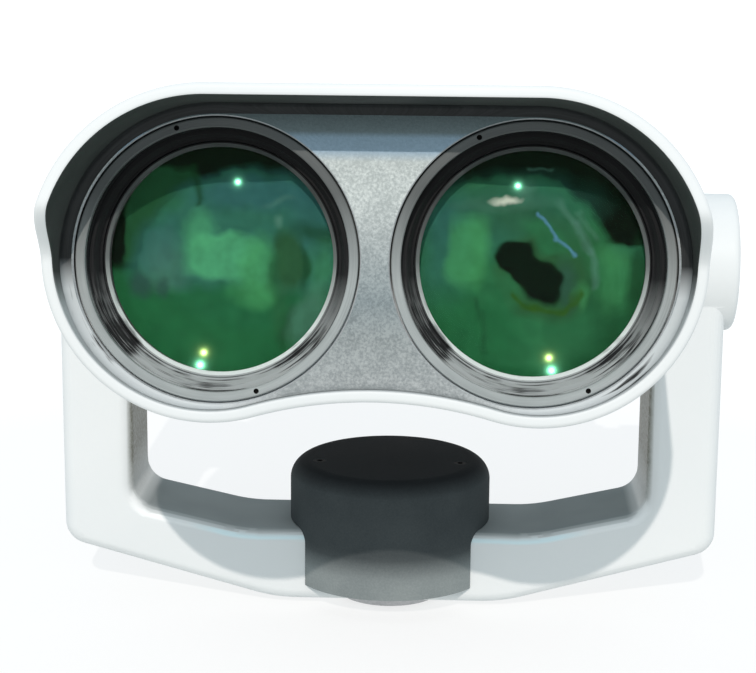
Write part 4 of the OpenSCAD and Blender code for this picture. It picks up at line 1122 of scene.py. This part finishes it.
def ribTree():
    tree, keys, given = startTree(
        "focusRibs", ("Rib radius", "Rib length", "Ring radius"), Ribs="Int", Middle="Vector",
        Look="Material")
    circle = output("GeometryNodeMeshCircle", {
        "Vertices": given["Ribs"], "Radius": given["Ring radius"]})
    rib = output("GeometryNodeMeshCylinder", {
        "Vertices": 20, "Radius": given["Rib radius"], "Depth": given["Rib length"]})
    around = output("GeometryNodeInstanceOnPoints", {"Points": circle, "Instance": rib})
    upright = output("GeometryNodeTransform", {
        "Geometry": around, "Translation": given["Middle"], "Rotation": (math.pi / 2, 0.0, 0.0)})
    both = addNode("GeometryNodeJoinGeometry", {0: given[0]})
    tree.links.new(upright, both.inputs[0])
    endTree(both.outputs[0], given["Look"])
    return tree, keys


def makeFocusRing(side, tree):
    f, x, z = focusRing, sides[side] * head["eyeX"], head["eyeZ"]
    y0, y1, edge, lip, slope = (f[k] for k in ("frontY", "backY", "edge", "lip", "lipSlope"))
    bore, out, inner = f["boreR"], f["outR"], f["coreR"]
    core = turned("focusRing" + side.title(), [
        (bore, y0), (out - edge, y0), (out, y0 + edge), (out, y0 + lip - slope), (inner, y0 + lip),
        (inner, y1 - lip), (out, y1 - lip + slope), (out, y1 - edge), (out - edge, y1),
        (bore, y1)], x, z, [blackAnodised], 25, f["steps"], Matrix())
    growTree(core, *tree, {
        "Ribs": f["ribs"], "Rib radius": f["ribHalf"] * mm,
        "Rib length": (y1 - y0 - 2 * lip + f["ribOver"]) * mm,
        "Ring radius": (out - f["ribHalf"] - f["ribSunk"]) * mm,
        "Middle": Vector((x, (y0 + y1) / 2, z)) * mm, "Look": blackAnodised})
    core.data.transform(headTurn)
    smoothShade(core.data, 30)
    settle(core, "focus_" + side, "focus_ring_" + side)


# eyecups: soft rubber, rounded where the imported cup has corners; the profile runs round the cup
# and back inside to its seat, each point by its distance from the barrel and from y

eyecup = {"y": 140.9, "barrelR": 18.0, "steps": 96, "profile": (
    (0, 0), (3.2, 0), (4.4, 0.5), (5, 1.6), (5, 5.4), (4.6, 6.6), (3.8, 7.6), (3.6, 8.6),
    (3.6, 10.4), (3.8, 11.8), (4.5, 15), (5.3, 19), (5.9, 22.8), (6, 24.4), (5.8, 25.4),
    (5.2, 26), (4.4, 26), (3.7, 25.3), (3.1, 23.5), (2.2, 19), (1.3, 15.2), (0.6, 14.3), (0, 14))}


def makeEyecup(side):
    profile = [(eyecup["barrelR"] + a, eyecup["y"] + b) for a, b in eyecup["profile"]]
    settle(turned("eyecup" + side.title(), profile, sides[side] * head["eyeX"], head["eyeZ"],
                  [blackRubber], 50, eyecup["steps"]),
           "eyepiece_" + side, "eyecup_" + side)


ribs = ribTree()
for side in sides:
    makeFocusRing(side, ribs)
    makeEyecup(side)
    for part, title, look, slotName, body in (
            ("eyepiece_tube_", "eyepieceTube", aluminium, "ring_aluminium", "head"),
            ("eyepiece_barrel_", "eyepieceBarrel", blackAnodised, "black_anodised",
             "eyepiece_" + side),
            ("eye_lens_", "eyeLens", clearGlass, "coated_glass", "eyepiece_" + side)):
        dressed(part + side, title + side.title(), look, 30, body)
print("eyepieces are made")
